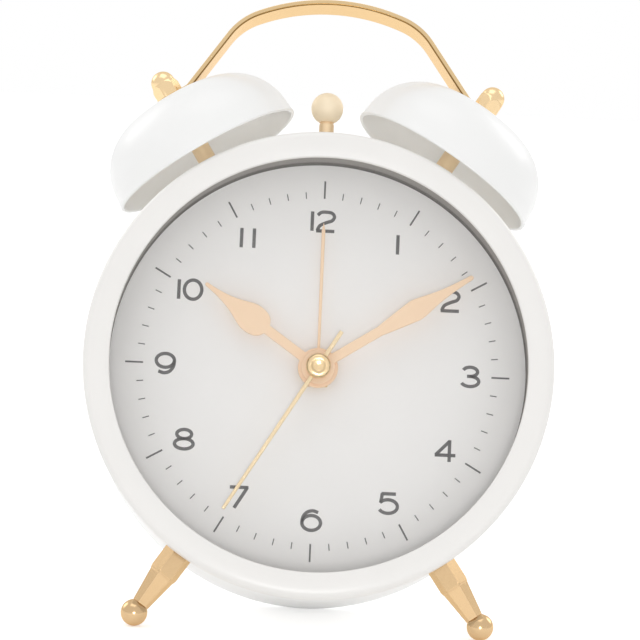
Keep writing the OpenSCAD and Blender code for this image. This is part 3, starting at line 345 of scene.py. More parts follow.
gloss = add_math(skin_group, "MULTIPLY_ADD", centred, entry.outputs["Gloss spread"],
    entry.outputs["Gloss loss"])
tone = add_blend(skin_group, cloud, entry.outputs["Dark"], entry.outputs["Light"])
for label, value in (("Colour", tone), ("Roughness", gloss), ("Height", grain)):
    skin_group.links.new(value, exit_node.inputs[label])
print("skin group sockets:", [socket.name for socket in skin_group.interface.items_tree])

# %% [markdown]
# ## Painted dark lines
# Some dark lines are painted into the colour rather than left to the light: shade along the handle's inner
# edges and where the spacer ring's wall meets the dial card, and a dark reflection round the cap's dimple.
# Painting them by hand would need an image. A piece marks such points with a number of its own instead, and
# a second shared group blends a dark colour over the skin by that number.

# %% The shared group for painted dark lines
# Painted shade and dark reflection: a dark colour blended over the skin where a piece marks its points.
dark_line_group, entry, exit_node = new_group("painted_dark_line", [
    ("Colour", COLOUR, (0.9, 0.9, 0.9, 1)), ("Painted dark colour", COLOUR, (0.2, 0.2, 0.2, 1))],
    [("Colour", COLOUR)])
mark = dark_line_group.nodes.new("ShaderNodeAttribute")
mark.attribute_name = "painted_dark_line"
dark_line_tone = add_blend(dark_line_group, mark.outputs["Fac"], entry.outputs["Colour"], entry.outputs["Painted dark colour"])
dark_line_group.links.new(dark_line_tone, exit_node.inputs["Colour"])
print("wear group sockets:", [socket.name for socket in dark_line_group.interface.items_tree])

# %% [markdown]
# ## Finishes
# Colours are written as they show on a screen, from 0 to 255, and turned into the linear values that a
# shader works in. The case and bells are satin white lacquer, the fittings polished pale gold, the hands a
# flat peach gold lacquer. Some copies of the white and the gold are lighter or darker only to paint light or
# shade onto particular parts. The finishes inside the case are those of such a movement: brass, steel,
# copper wire, cream and grey mouldings.

# %% Mix the finishes
SKIN_INPUTS = ("Light", "Dark", "Gloss loss", "Gloss spread", "Grain per metre", "Stretch")
GRAIN_HEIGHT = 0.00005
COAT_ROUGHNESS = 0.12


def screen(red, green, blue):
    """Linear colour of a screen colour: ((value + 0.055) / 1.055) to the power 2.4."""
    value = (np.array([red, green, blue]) / 255 + 0.055) / 1.055
    return tuple(float(v) for v in value ** 2.4) + (1.0,)


def new_finish(name):
    """A new material, its node tree and its shader."""
    finish = bpy.data.materials.new(name)
    finish.use_nodes = True
    return finish, finish.node_tree, finish.node_tree.nodes["Principled BSDF"]


def add_group(tree, group, labels, values):
    """A shared group placed in a material with its own values."""
    node = tree.nodes.new("ShaderNodeGroup")
    node.node_tree = group
    for label, value in zip(labels, values):
        feed(tree, value, node.inputs[label])
    return node.outputs


def add_skin(tree, shader, light, dark, rough, spread, grain_scale, pull=(1, 1, 1)):
    """The skin group linked to the shader's colour and gloss; gives the height of its grain."""
    values = (screen(*light), screen(*dark), rough, spread, grain_scale, pull)
    skin = add_group(tree, skin_group, SKIN_INPUTS, values)
    tree.links.new(skin["Colour"], shader.inputs["Base Color"])
    tree.links.new(skin["Roughness"], shader.inputs["Roughness"])
    return skin["Height"]


def mix_finish(name, light, dark, rough, spread, grain_scale, lift, metal=0.0, coat=0.0, pull=(1, 1, 1),
        tint=(255, 255, 255), painted_dark=None):
    """A finish: skin into the shader, grain through a bump of a few hundredths of a mm, painted dark lines
    over both.
    """
    finish, tree, shader = new_finish(name)
    height = add_skin(tree, shader, light, dark, rough, spread, grain_scale, pull)
    bump = tree.nodes.new("ShaderNodeBump")
    bump.inputs["Strength"].default_value = lift
    bump.inputs["Distance"].default_value = GRAIN_HEIGHT
    tree.links.new(height, bump.inputs["Height"])
    tree.links.new(bump.outputs["Normal"], shader.inputs["Normal"])
    for label, value in (("Metallic", metal), ("Specular Tint", screen(*tint)), ("Coat Weight", coat),
            ("Coat Roughness", COAT_ROUGHNESS)):
        shader.inputs[label].default_value = value
    if painted_dark:
        base = shader.inputs["Base Color"]
        values = (base.links[0].from_socket, screen(*painted_dark))
        tree.links.new(add_group(tree, dark_line_group, ("Colour", "Painted dark colour"), values)["Colour"], base)
    return finish


POLISH = {"metal": 1.0, "tint": (250, 234, 210)}
# Polish with a painted dark line: painted shade and dark reflection along the edges that a piece marks.
DARK_LINED_POLISH = {**POLISH, "painted_dark": (140, 108, 62)}
# Light and dark colour, gloss loss and its spread, grain per metre, bump strength, extras
FINISHES = {
    "white_lacquer": ((248, 246, 243), (244, 242, 239), 0.42, 0.1, 1400, 0.25, {"coat": 0.15}),
    # A lighter copy of the white lacquer for bells and drum: painted light that lifts the shaded insides of
    # the bells.
    "bell_lacquer": ((252, 252, 251), (250, 250, 249), 0.4, 0.1, 1400, 0.2, {"coat": 0.15}),
    "pale_gold": ((238, 211, 168), (230, 201, 157), 0.24, 0.12, 1200, 0.06, POLISH),
    # Pale gold with a painted dark line, used for the painted dark reflection round the cap's dimple.
    "edged_gold": ((238, 211, 168), (230, 201, 157), 0.24, 0.12, 1200, 0.06, DARK_LINED_POLISH),
    # A darker copy of the pale gold: painted shade over the whole handle, with a painted dark line on its
    # inner edges.
    "handle_gold": ((223, 195, 151), (214, 185, 140), 0.24, 0.12, 1200, 0.06, DARK_LINED_POLISH),
    # A darker copy of the pale gold: painted shade that tones down the front lamp's reflection in the legs.
    "leg_gold": ((213, 183, 142), (203, 172, 131), 0.2, 0.1, 1200, 0.05, POLISH),
    # Satin gold for the ball: rough as satin is, and lighter and less metallic, painted light that lifts its
    # shaded lower half.
    "satin_gold": ((254, 238, 209), (252, 234, 203), 0.55, 0.12, 1500, 0.3,
        {"metal": 0.15, "pull": (1, 1, 8)}),
    # A lighter copy of the gold: painted light that lifts the posts and the rod in the shade of the bells.
    "rod_gold": ((250, 224, 186), (245, 217, 177), 0.36, 0.12, 1500, 0.1, {"metal": 0.5}),
    "peach_gold": ((251, 221, 189), (248, 216, 183), 0.45, 0.12, 2400, 0.15, {}),
    "yellow_gold": ((240, 218, 180), (234, 210, 170), 0.5, 0.12, 2400, 0.15, {"metal": 0.2}),
    "dial_card": ((247, 245, 243), (244, 242, 240), 0.62, 0.12, 3000, 0.2, {}),
    "dial_ink": ((116, 114, 113), (104, 103, 103), 0.6, 0.1, 3000, 0.1, {}),
    # The spacer's dark card; its painted dark colour is the painted shade where the wall meets the dial
    # card.
    "dark_card": ((156, 152, 147), (150, 146, 141), 0.6, 0.15, 1600, 0.2, {"painted_dark": (98, 94, 90)}),
    "bright_steel": ((205, 207, 210), (184, 187, 191), 0.28, 0.2, 1500, 0.3,
        {"metal": 1.0, "pull": (1, 6, 1)}),
    "magnet_grey": ((84, 85, 90), (66, 67, 72), 0.45, 0.2, 1500, 0.4, {"metal": 0.7}),
    "wheel_brass": ((226, 194, 120), (206, 170, 96), 0.27, 0.2, 1800, 0.3, {"metal": 1.0}),
    "wound_copper": ((206, 128, 82), (160, 88, 52), 0.33, 0.2, 900, 1.0,
        {"metal": 0.9, "pull": (8, 1, 1)}),
    "cream_moulding": ((232, 230, 221), (224, 221, 210), 0.5, 0.15, 2600, 0.4, {}),
    "white_moulding": ((240, 239, 236), (234, 233, 229), 0.48, 0.14, 2600, 0.5, {}),
    "grey_moulding": ((196, 194, 190), (182, 180, 176), 0.5, 0.14, 2600, 0.5, {}),
    "board_lacquer": ((52, 110, 72), (38, 88, 56), 0.35, 0.2, 1200, 0.5, {}),
}
finishes = {name: mix_finish(name, *values, **extras) for name, (*values, extras) in FINISHES.items()}
print("finishes:", len(finishes))

# %% [markdown]
# ## Glass and battery sleeve
# The front glass is a flat pane. Real glass lets the light through to the dial, but a path tracer finds
# little of that light by chance, so shadow and diffuse rays pass straight through while the camera still
# sees a clear, faintly reflecting pane. The battery wears a printed sleeve: two plain colours that change
# along it.

# %% Glass and sleeve finishes
PANE_IOR = 1.2
SLEEVE_CHANGE = 0.011


def show_either(tree, mask, first, second, output):
    """Show the first shader where a mask is 0 and the second where it is 1."""
    mixed = tree.nodes.new("ShaderNodeMixShader")
    for value, socket in zip((mask, first, second), mixed.inputs):
        tree.links.new(value, socket)
    tree.links.new(mixed.outputs["Shader"], tree.nodes[output].inputs["Surface"])


def mix_glass(name):
    """Clear pane: the shader with full transmission, and plain transparency for shadow and diffuse rays."""
    finish, tree, shader = new_finish(name)
    add_skin(tree, shader, (255, 255, 255), (252, 253, 253), 0.015, 0.02, 60)
    shader.inputs["Transmission Weight"].default_value = 1.0
    shader.inputs["IOR"].default_value = PANE_IOR
    path = tree.nodes.new("ShaderNodeLightPath")
    through = add_math(tree, "MAXIMUM", path.outputs["Is Shadow Ray"], path.outputs["Is Diffuse Ray"])
    clear = tree.nodes.new("ShaderNodeBsdfTransparent")
    show_either(tree, through, shader.outputs["BSDF"], clear.outputs["BSDF"], "Material Output")
    return finish


def mix_sleeve(name):
    """Battery sleeve: dark for most of its length and copper coloured after a place along x."""
    finish = mix_finish(name, (70, 72, 78), (56, 58, 64), 0.3, 0.12, 900, 0.15, coat=0.4)
    tree = finish.node_tree
    base = tree.nodes["Principled BSDF"].inputs["Base Color"]
    split = tree.nodes.new("ShaderNodeSeparateXYZ")
    tree.links.new(tree.nodes.new("ShaderNodeTexCoord").outputs["Object"], split.inputs[0])
    beyond = add_math(tree, "GREATER_THAN", split.outputs["X"], SLEEVE_CHANGE)
    tree.links.new(add_blend(tree, beyond, base.links[0].from_socket, screen(198, 140, 84)), base)
    return finish


finishes["clear_glass"] = mix_glass("clear_glass")
finishes["cell_sleeve"] = mix_sleeve("cell_sleeve")
print("finishes with glass and sleeve:", len(finishes))

# %% [markdown]
# ## Front ring
# The front ring is a spun white metal ring with a gently crowned face and a rolled outer edge. It holds the
# glass behind a thin lip and slips into the drum with a sleeve. A torus would be rounder than the real one,
# so its section is drawn: a wide crown arc, a small edge arc that is tangent to it, the lip and the sleeve.

# %% Turn the front ring
BEZEL_R, OPENING_R, RIM_DEPTH, LIP = 55.2, 49.0, 5.5, 1.6
SLEEVE_R, SLEEVE_IN_R, SLEEVE_DEPTH = 53.45, 51.3, 17.5
CROWN_R, EDGE_R, LIP_ROLL, REAR_ROLL = 14.0, 1.6, 0.35, 0.3
face_mid = (BEZEL_R + OPENING_R) / 2
edge_at, lip_at = BEZEL_R - EDGE_R, OPENING_R + LIP_ROLL
edge_depth = CROWN_R - math.sqrt((CROWN_R - EDGE_R) ** 2 - (edge_at - face_mid) ** 2)
crown_end = math.degrees(math.atan2(edge_depth - CROWN_R, edge_at - face_mid))
crown_start = math.degrees(math.atan2(-1.0, (lip_at - face_mid) / CROWN_R))
crown = arc((face_mid, CROWN_R), CROWN_R, crown_start, crown_end, 22)
edge = arc((edge_at, edge_depth), EDGE_R, crown_end, 0, 12)
lip_edge = arc((lip_at, crown[0, 1] + LIP_ROLL), LIP_ROLL, 180, 270, 7)[:-1]
rear_corners = [(BEZEL_R, edge_depth), (BEZEL_R, RIM_DEPTH), (SLEEVE_R, RIM_DEPTH)]
rear = roll_corners(rear_corners, (0, REAR_ROLL, 0))[1:]
sleeve = [(SLEEVE_R, SLEEVE_DEPTH), (SLEEVE_IN_R, SLEEVE_DEPTH), (SLEEVE_IN_R, LIP), (OPENING_R, LIP)]
bezel_section = np.concatenate([lip_edge, crown, edge[1:], rear, sleeve])
make_piece("bezel_ring", [turned(bezel_section, count=LARGE)], "white_lacquer", "front_bezel")

# %% [markdown]
# ## Glass, dark ring and dial
# Behind the lip lie a flat pane, a dark spacer ring that keeps the hands clear of the glass, and the dial
# card. They are plain turned discs, but their edges matter: the dark inner wall of the spacer is the grey
# crescent that the photograph shows along the top of the dial. Where the wall meets the card its colour is
# darker still: painted shade in that corner.

# %% Turn glass, spacer and dial
PANE_R, PANE_BACK, SPACER_R, DIAL_DEPTH, DIAL_BACK, BUSHING_R = 51.2, 3.6, 49.5, 13.6, 14.4, 3.6
PANE_ROLL, SEAT_DARK, SEAT_FADE = 0.2, 3.0, 1.6


def disc(inner, outer, front, back, edge_roll):
    """Disc or ring on the case axis with rolled outer corners; with an inner radius of 0 it has no hole."""
    corners = [(inner, front), (outer, front), (outer, back), (inner, back)]
    return turned(roll_corners(corners, (0, edge_roll, edge_roll, 0)))


make_piece("glass_pane", [disc(0, PANE_R, LIP, PANE_BACK, PANE_ROLL)], "clear_glass", "lens")
# Painted shade: the wall's last SEAT_DARK mm before the card carry a darker colour, fading in over SEAT_FADE
# mm.
dark_from = DIAL_DEPTH - SEAT_DARK
spacer_section = [(SPACER_R, PANE_BACK), (PANE_R, PANE_BACK), (PANE_R, DIAL_DEPTH), (SPACER_R, DIAL_DEPTH),
    (SPACER_R, dark_from), (SPACER_R, dark_from - SEAT_FADE)]
seat_shade = np.tile([0.0, 0.0, 1.0, 1.0, 1.0, 0.0], FINE)
make_piece("spacer_ring", [turned(spacer_section)], "dark_card", "dial_ring", dark_line=seat_shade)
dial_sheet = disc(BUSHING_R, PANE_R, DIAL_DEPTH, DIAL_BACK, 0)
make_piece("dial_disc", [dial_sheet], "dial_card", "dial")

# %% [markdown]
# ## Minute marks and hour numbers
# The dial is printed: sixty marks and thin upright numbers. Text objects would bring a font along, and the
# strokes here are so simple that they are better drawn as paths, a circle arc or a smooth curve through a
# few points, with a flat ribbon of ink carried along each. The ribbon is a closed band a few hundredths of
# a millimetre thick, so it lies on the card as ink does.

# %% Ink strokes
INK_FRONT = DIAL_DEPTH - 0.03
INK_BACK = DIAL_DEPTH + 0.02


def ribbon(path, width, closed=False):
    """Band along a path in x and z: path plus and minus half the width along its normal, at two depths."""
    path = np.asarray(path, float)
    if closed:
        tangent = np.roll(path, -1, 0) - np.roll(path, 1, 0)
    else:
        tangent = np.gradient(path, axis=0)
    tangent = unit(tangent)
    normal = np.stack([-tangent[:, 1], tangent[:, 0]], -1)
    left, right = path + normal * width / 2, path - normal * width / 2
    rows = [(left, INK_FRONT), (right, INK_FRONT), (right, INK_BACK), (left, INK_BACK)]
    grid = np.stack([np.insert(edge_line, 1, depth, axis=1) for edge_line, depth in rows], 1)
    if not closed:
        start, end = grid[:1].mean(1, keepdims=True), grid[-1:].mean(1, keepdims=True)
        grid = np.concatenate([np.repeat(start, 4, 1), grid, np.repeat(end, 4, 1)])
    return grid, closed, True


def straight(start, end):
    """Path from one point to another."""
    return np.linspace(start, end, 3)


def bow(centre, across, high, start, end, count=28):
    """Path on an ellipse from one angle to another, in degrees."""
    t = np.radians(np.linspace(start, end, count))
    return np.asarray(centre, float) + np.stack([across * np.cos(t), high * np.sin(t)], -1)


def smooth_path(points, steps=8):
    """Curve through points: cubics whose slopes are half the chord between the points on either side."""
    points = np.asarray(points, float)
    padded = np.concatenate([[2 * points[0] - points[1]], points, [2 * points[-1] - points[-2]]])
    t = np.linspace(0, 1, steps, endpoint=False)[None, :, None]
    a, b, c, d = padded[:-3, None], padded[1:-2, None], padded[2:-1, None], padded[3:, None]
    curve = b + 0.5 * t * (c - a + t * (2 * a - 5 * b + 4 * c - d + t * (3 * (b - c) + d - a)))
    return np.concatenate([curve.reshape(-1, 2), points[-1:]])


print("ink lies from", INK_FRONT, "to", INK_BACK, "mm behind the front")

# %% [markdown]
# ### The ten figures
# Each figure is one or more strokes about its own middle, 4.6 mm high between the stroke centres. The full
# rings of 0, 6, 8 and 9 are closed ribbons, and everything else is an open one.

# %% Draw the figures
HIGH, STROKE, RING_STEPS = 2.31, 0.8, 49
RINGS = {
    "0": [((0, 0), 2.07, HIGH)],
    "6": [((0, -0.56), 2.2, 1.75)],
    "8": [((0, 1.22), 1.75, 1.09), ((0, -1.09), 2.2, 1.22)],
    "9": [((0, 0.66), 2.15, 1.65)],
}
STROKES = {
    "1": [straight((0, -2.35), (0, 2.35))],
    "2": [smooth_path([(-2.05, 1.5), (-1.2, 2.2), (0.0, HIGH), (1.35, 2.1), (1.95, 1.25), (1.45, 0.3),
        (0.05, -0.25), (-1.45, -1.05), (-2.08, -2.28)]), straight((-2.3, -HIGH), (2.05, -HIGH))],
    "3": [bow((0, 1.21), 1.75, 1.1, 160, -90), bow((0, -1.1), 2.1, 1.21, 90, -160),
        straight((-0.75, 0.11), (0.1, 0.11))],
    "4": [straight((0.95, -2.6), (0.95, 2.6)), straight((0.95, HIGH), (-2.3, -1.0)),
        straight((-2.5, -1.05), (2.4, -1.05))],
    "5": [straight((-1.6, HIGH), (1.8, HIGH)), straight((-1.42, 2.4), (-1.72, 0.1)),
        bow((0, -0.7), 2.25, 1.61, 148, -152)],
    "6": [smooth_path([(-2.2, -0.56), (-2.0, 0.75), (-1.2, 1.85), (0.2, HIGH), (1.55, 1.95)])],
    "7": [straight((-2.1, HIGH), (2.3, HIGH)), straight((2.05, HIGH), (-0.9, -2.6))],
    "9": [smooth_path([(2.15, 0.66), (1.95, -0.75), (1.1, -1.9), (-0.2, -HIGH), (-1.55, -1.95)])],
}
# Sideways shifts of an hour's figures; inner and outer radius and width of a mark
SHIFTS = {3: (0.45,), 7: (0.5,), 8: (0.2,), 9: (-0.3,), 10: (-2.7, 0.66), 11: (-1.5, 1.5), 12: (-2.72, 0.58)}
NUMBER_RING = 35.85
HOUR_MARK, MINUTE_MARK = (41.4, 45.65, 0.41), (41.4, 43.0, 0.24)


def clock_point(radius, minutes):
    """Point of the dial at a radius and a number of minutes: sine and cosine of 6 degrees for each."""
    angle = math.radians(6 * minutes)
    return np.array([radius * math.sin(angle), radius * math.cos(angle)])


ink = []
for minute in range(60):
    low, high, mark_width = MINUTE_MARK if minute % 5 else HOUR_MARK
    ink.append(ribbon(straight(clock_point(low, minute), clock_point(high, minute)), mark_width))
for hour in range(1, 13):
    for figure, shift in zip(str(hour), SHIFTS.get(hour, (0.0,))):
        middle = clock_point(NUMBER_RING, 5 * hour) + (shift, 0)
        rings = [bow(*ring, 0, 360, RING_STEPS)[:-1] for ring in RINGS.get(figure, ())]
        ink += [ribbon(path + middle, STROKE, True) for path in rings]
        ink += [ribbon(path + middle, STROKE) for path in STROKES.get(figure, ())]
make_piece("dial_print", ink, "dial_ink", sharp=50)

# %% [markdown]
# ## Hands
# The hour and minute hand are stamped leaf hands: a straight stem, a shoulder that swells to a leaf, a
# hollow taper to a rounded tip. Their half width along the length is two cubic curves, and a flat section
# with a fine rolled edge is carried along it. Each hand has a hub disc and a collar on its pipe. The second
# hand and the alarm hand are plain tapered strips.

# %% Stamp the hands
HAND_EDGE = 0.1
COLLAR, COLLAR_WALL = 0.55, 0.8
BLADE_SET = 0.004


def cubic(points, count):
    """Cubic curve with four control points."""
    a, b, c, d = np.asarray(points, float)
    t = np.linspace(0, 1, count)[:, None]
    return (1 - t) ** 3 * a + 3 * (1 - t) ** 2 * t * b + 3 * (1 - t) * t ** 2 * c + t ** 3 * d


def leaf_outline(length, width, stem, start, widest, full, tip):
    """Half width and place along a leaf hand: stem, shoulder curve, taper curve, quarter circle."""
    half, stem_half, rise, run = width / 2, stem / 2, widest - start, length - widest
    shoulder = [(stem_half, start), (stem_half + 0.8 * full * (half - stem_half), start + 0.15 * rise),
        (half - (1 - full) * 0.6 * (half - stem_half), start + 0.5 * rise), (half, widest)]
    taper = [(half, widest), (half - (1 - full) * 0.25, widest + 0.2 * run),
        (tip + 0.35, widest + 0.32 * run), (tip, length - tip)]
    end = arc((0, length - tip), tip, 0, 90, 8)
    return np.concatenate([[(stem_half, 0)], cubic(shoulder, 24), cubic(taper, 30)[1:], end[1:]])


def hand_sheets(outline, angle, front, thick, hub, pipe):
    """Flat section with rolled front edges carried along the hand, and a turned hub with a collar."""
    half, along = np.asarray(outline, float).T
    edge_in = np.minimum(HAND_EDGE, 0.6 * half)
    across = np.stack([-half, -half, -half + edge_in, half - edge_in, half, half], 1)
    depth = front + np.array([thick, HAND_EDGE, 0.0, 0.0, HAND_EDGE, thick]) * np.ones((len(half), 1))
    turn = math.radians(angle)
    x = along[:, None] * math.sin(turn) + across * math.cos(turn)
    z = along[:, None] * math.cos(turn) - across * math.sin(turn)
    blade = np.stack([x, depth + BLADE_SET, z], -1)
    root = np.repeat(blade[:1].mean(1, keepdims=True), 6, 1)
    back, collar_r = front + thick, pipe + COLLAR_WALL
    hub_corners = [(pipe, front), (hub, front), (hub, back), (collar_r, back), (collar_r, back + COLLAR),
        (pipe, back + COLLAR)]
    hub_section = roll_corners(hub_corners, (0, HAND_EDGE, 0, 0, 0, 0), 3)
    return [(np.concatenate([root, blade]), False, True), turned(hub_section, count=SMALL)]


SHOWN_MINUTES, SHOWN_SECONDS = 9.5, 35.2
HOUR_FRONT, MINUTE_FRONT, SECOND_FRONT, ALARM_FRONT = 9.85, 8.5, 7.15, 11.2
hour_leaf = leaf_outline(33.4, 7.0, stem=2.3, start=15.2, widest=19.6, full=1.0, tip=0.45)
minute_leaf = leaf_outline(42.8, 5.1, stem=2.3, start=17.0, widest=26.8, full=0.25, tip=0.55)
second_strip = [(0.5, -10.0), (0.5, 0.0), (0.4, 40.4), (0.0, 40.4)]
alarm_strip = [(0.3, 0.0), (0.435, 33.2), (0.0, 35.2)]
# Solid, form, (outline, angle, front, thickness, hub and pipe radius), finish, slot, body
hands = [
    ("hour_hand", "leaf", (hour_leaf, 300 + SHOWN_MINUTES / 2, HOUR_FRONT, 0.5, 4.75, 1.82), "peach_gold",
        "hand_metal", "hour_work"),
    ("minute_hand", "leaf", (minute_leaf, SHOWN_MINUTES * 6, MINUTE_FRONT, 0.5, 4.0, 1.17), "peach_gold",
        "hand_metal", "minute_work"),
    ("second_hand", "strip", (second_strip, SHOWN_SECONDS * 6, SECOND_FRONT, 0.4, 1.9, 0.62), "yellow_gold",
        "second_metal", "second_train"),
    ("alarm_hand", "strip", (alarm_strip, 0.0, ALARM_FRONT, 0.4, 3.4, 2.52), "peach_gold", "hand_metal",
        "alarm_work"),
]
for node, form, sizes, finish, slot, body in hands:
    make_piece(f"{node}_{form}", hand_sheets(*sizes), finish, node, body)

# %% [markdown]
# ## Centre cap
# A small polished cap sits on the end of the second hand's arbor: a short cylinder with a well rounded edge
# and a shallow dimple in front, turned from one section. A painted dark line round the rim of the dimple
# stands in for the dark reflection there.

# %% Turn the cap
CAP_R, CAP_FRONT, CAP_EDGE, DIMPLE_R, DIMPLE_OUT = 2.925, 5.35, 0.9, 4.0, 3.7
RIM_MARK, RIM_SPREAD, RIM_BACK = 0.35, 0.18, 0.4
dimple_edge = math.sqrt(DIMPLE_R ** 2 - DIMPLE_OUT ** 2)
dimple_r = np.linspace(0, dimple_edge, 20)
dimple = np.stack([dimple_r, CAP_FRONT - DIMPLE_OUT + np.sqrt(DIMPLE_R ** 2 - dimple_r ** 2)], -1)
cap_edge = arc((CAP_R - CAP_EDGE, CAP_FRONT + CAP_EDGE), CAP_EDGE, -90, 0, 12)
cap_section = np.concatenate([dimple, cap_edge, [(CAP_R, SECOND_FRONT), (0, SECOND_FRONT)]])
# Painted reflection: a dark line of painted colour round the rim of the dimple.
from_rim = (cap_section[:, 0] - dimple_edge) / RIM_SPREAD
rim_dark_line = RIM_MARK * np.exp(-from_rim ** 2) * (cap_section[:, 1] < CAP_FRONT + RIM_BACK)
make_piece("centre_cap", [turned(cap_section, count=SMALL)], "edged_gold", "second_hand_cap",
    "second_train", dark_line=np.tile(rim_dark_line, SMALL))

# %% [markdown]
# ## Drum
# The drum is a drawn sheet metal can with a rolled rear edge and a flange for the cover. Its only window
# that shows is the slot that the hammer's rod swings in. The can is turned as a closed shell, and the slot
# is cut with a boolean, whose result is kept as the mesh so that nothing live is left on the piece.

# %% Turn the drum and cut its slot
DRUM_R, DRUM_WALL, DRUM_BACK, DRUM_ROLL, FLANGE_R = 54.5, 1.0, 47.0, 2.5, 46.2
SIDE_ROWS = 9
BELL_DEPTH = 23.0
SLOT_HALF, SLOT_R, SLOT_LEVELS = 2.27, 2.4, (46.0, 60.0)


def cut_away(piece, sheets, sharp=CRISP):
    """Take a closed shape away from a piece and keep the result as its mesh."""
    points, faces = join_sheets(sheets)
    cutter_mesh = bpy.data.meshes.new("cutter")
    cutter_mesh.from_pydata(points.tolist(), [], faces.tolist())
    close_and_smooth(cutter_mesh, sharp)
    cutter = put_in_scene("cutter", cutter_mesh)
    cut = piece.modifiers.new("cut", "BOOLEAN")
    cut.operation = "DIFFERENCE"
    cut.solver = "EXACT"
    cut.object = cutter
    result = bpy.data.meshes.new_from_object(piece.evaluated_get(bpy.context.evaluated_depsgraph_get()))
    piece.modifiers.clear()
    piece.data = result
    bpy.data.objects.remove(cutter)
    close_and_smooth(result, sharp)
    print(piece.name, "faces after the cut", len(result.polygons))


roll_centre = (DRUM_R - DRUM_ROLL, DRUM_BACK - DRUM_ROLL)
side_rows = np.linspace(RIM_DEPTH, DRUM_BACK - DRUM_ROLL, SIDE_ROWS)
outer_side = np.stack([np.full(SIDE_ROWS, DRUM_R), side_rows], -1)
inner_side = np.stack([np.full(SIDE_ROWS, DRUM_R - DRUM_WALL), side_rows[::-1]], -1)
outer_roll = arc(roll_centre, DRUM_ROLL, 0, 90, 12)[1:]
inner_roll = arc(roll_centre, DRUM_ROLL - DRUM_WALL, 90, 0, 8)[:-1]
flange = [(FLANGE_R, DRUM_BACK), (FLANGE_R, DRUM_BACK - DRUM_WALL)]
drum_section = np.concatenate([outer_side, outer_roll, flange, inner_roll, inner_side])
drum = make_piece("drum", [turned(drum_section, count=LARGE)], "bell_lacquer", "case_barrel")
slot_path = np.concatenate([arc((SLOT_HALF, BELL_DEPTH), SLOT_R, -90, 90, 17),
    arc((-SLOT_HALF, BELL_DEPTH), SLOT_R, 90, 270, 17)])
levels = [np.insert(slot_path, 2, height, axis=1) for height in SLOT_LEVELS]
caps = [np.repeat(level.mean(0, keepdims=True), len(level), 0) for level in levels]
cut_away(drum, [(np.stack([caps[0], *levels, caps[1]], 1), True, False)])

# %% [markdown]
# ## Bells
# Each bell is a spun dome with a short, slightly flared skirt. A half sphere would be far too high: the
# real section is a flat crown arc that runs into a tighter shoulder arc and then into the skirt. The wall
# has its real thickness, because the photograph looks into the bells from below.

# %% Spin the bells
BELL_TILT = math.radians(32.2)
BELL_X, BELL_Z = 28.271, 51.0934
RIM_R, BELL_H, BELL_WALL, SKIRT, FLARE, SHOULDER = 24.2, 17.05, 1.0, 2.7, 0.45, 14.2
STUD_HOLE, RIM_ROLL = 1.6, 0.4
shoulder_at = RIM_R - FLARE - SHOULDER
crown_rise = BELL_H - SKIRT
bell_crown = (crown_rise ** 2 + shoulder_at ** 2 - SHOULDER ** 2) / (2 * (crown_rise - SHOULDER))
crown_low = BELL_H - bell_crown
bell_axis = np.array([math.sin(BELL_TILT), 0, math.cos(BELL_TILT)])
bell_side = np.array([math.cos(BELL_TILT), 0, -math.sin(BELL_TILT)])
bell_origin = np.array([BELL_X, BELL_DEPTH, BELL_Z])
bell_frame = (bell_origin, bell_axis, bell_side)


def bell_wall(inset):
    """One face of the bell from the stud hole outwards: crown arc, and shoulder arc tangent to it."""
    meet = math.degrees(math.atan2(SKIRT - crown_low, shoulder_at))
    hole = math.degrees(math.acos(STUD_HOLE / (bell_crown - inset)))
    crown_part = arc((0, crown_low), bell_crown - inset, hole, meet, 26)
    shoulder_part = arc((shoulder_at, SKIRT), SHOULDER - inset, meet, 0, 34)
    return np.concatenate([crown_part, shoulder_part[1:]])


rim_corners = [(RIM_R - FLARE, SKIRT), (RIM_R, 0), (RIM_R - BELL_WALL, 0),
    (RIM_R - FLARE - BELL_WALL, SKIRT)]
rim = roll_corners(rim_corners, (0, RIM_ROLL, RIM_ROLL, 0))[1:-1]
bell_section = np.concatenate([bell_wall(0), rim, bell_wall(BELL_WALL)[::-1]])
bell = turned(bell_section, *bell_frame)
for side, sheet in (("right", bell), ("left", mirrored(bell))):
    make_piece(f"bell_dome_{side}", [sheet], "bell_lacquer", f"bell_{side}")

# %% [markdown]
# ## Posts and dome nuts
# A gold post carries each bell from the drum, its thin stud goes on through bell and handle, and a dome nut
# closes it. A nut is a hexagon bar with turned chamfers and a turned dome: at every angle and height its
# radius is the smaller of the hexagon's and the turned section's. That one formula gives the curved lines
# that a chamfer draws on the flats.

# %% Turn posts and nuts
POST_R, POST_FOOT, POST_TOP = 2.25, -4.25, 15.95
STUD_R, STUD_TOP, STUD_PLAY = 1.5, 22.9, 0.02
POST_ROLL, STUD_ROLL = 0.15, 0.2
TAB_TOP = 18.25
NUT_FLATS, NUT_HEX, NUT_CHAMFER, DOME_R, DOME_LIFT = 5.9, 4.0, 1.2, 2.9, 0.1
NUT_EDGE, NUT_EDGE_H = 0.35, 0.3
RIGHT_NUT_TURN, LEFT_NUT_TURN = math.pi / 6, 0.0
post_corners = [(0, POST_FOOT), (POST_R, POST_FOOT), (POST_R, POST_TOP), (STUD_R, POST_TOP),
    (STUD_R, STUD_TOP), (0, STUD_TOP)]
post_section = roll_corners(post_corners, (0, POST_ROLL, POST_ROLL, 0, STUD_ROLL, 0), 3)
post = turned(post_section, *bell_frame, SMALL)
make_piece("post_pair", [post, mirrored(post)], "rod_gold", "bell_posts")
nut_corner = NUT_FLATS / 2 / math.cos(math.pi / 6)
chamfer_low = NUT_HEX - NUT_CHAMFER
dome = arc((0, NUT_HEX + DOME_LIFT), DOME_R, 2, 90, 22)
nut_low = [(STUD_R + STUD_PLAY, 0), (nut_corner - NUT_EDGE, 0), (nut_corner, NUT_EDGE_H),
    (nut_corner, chamfer_low)]
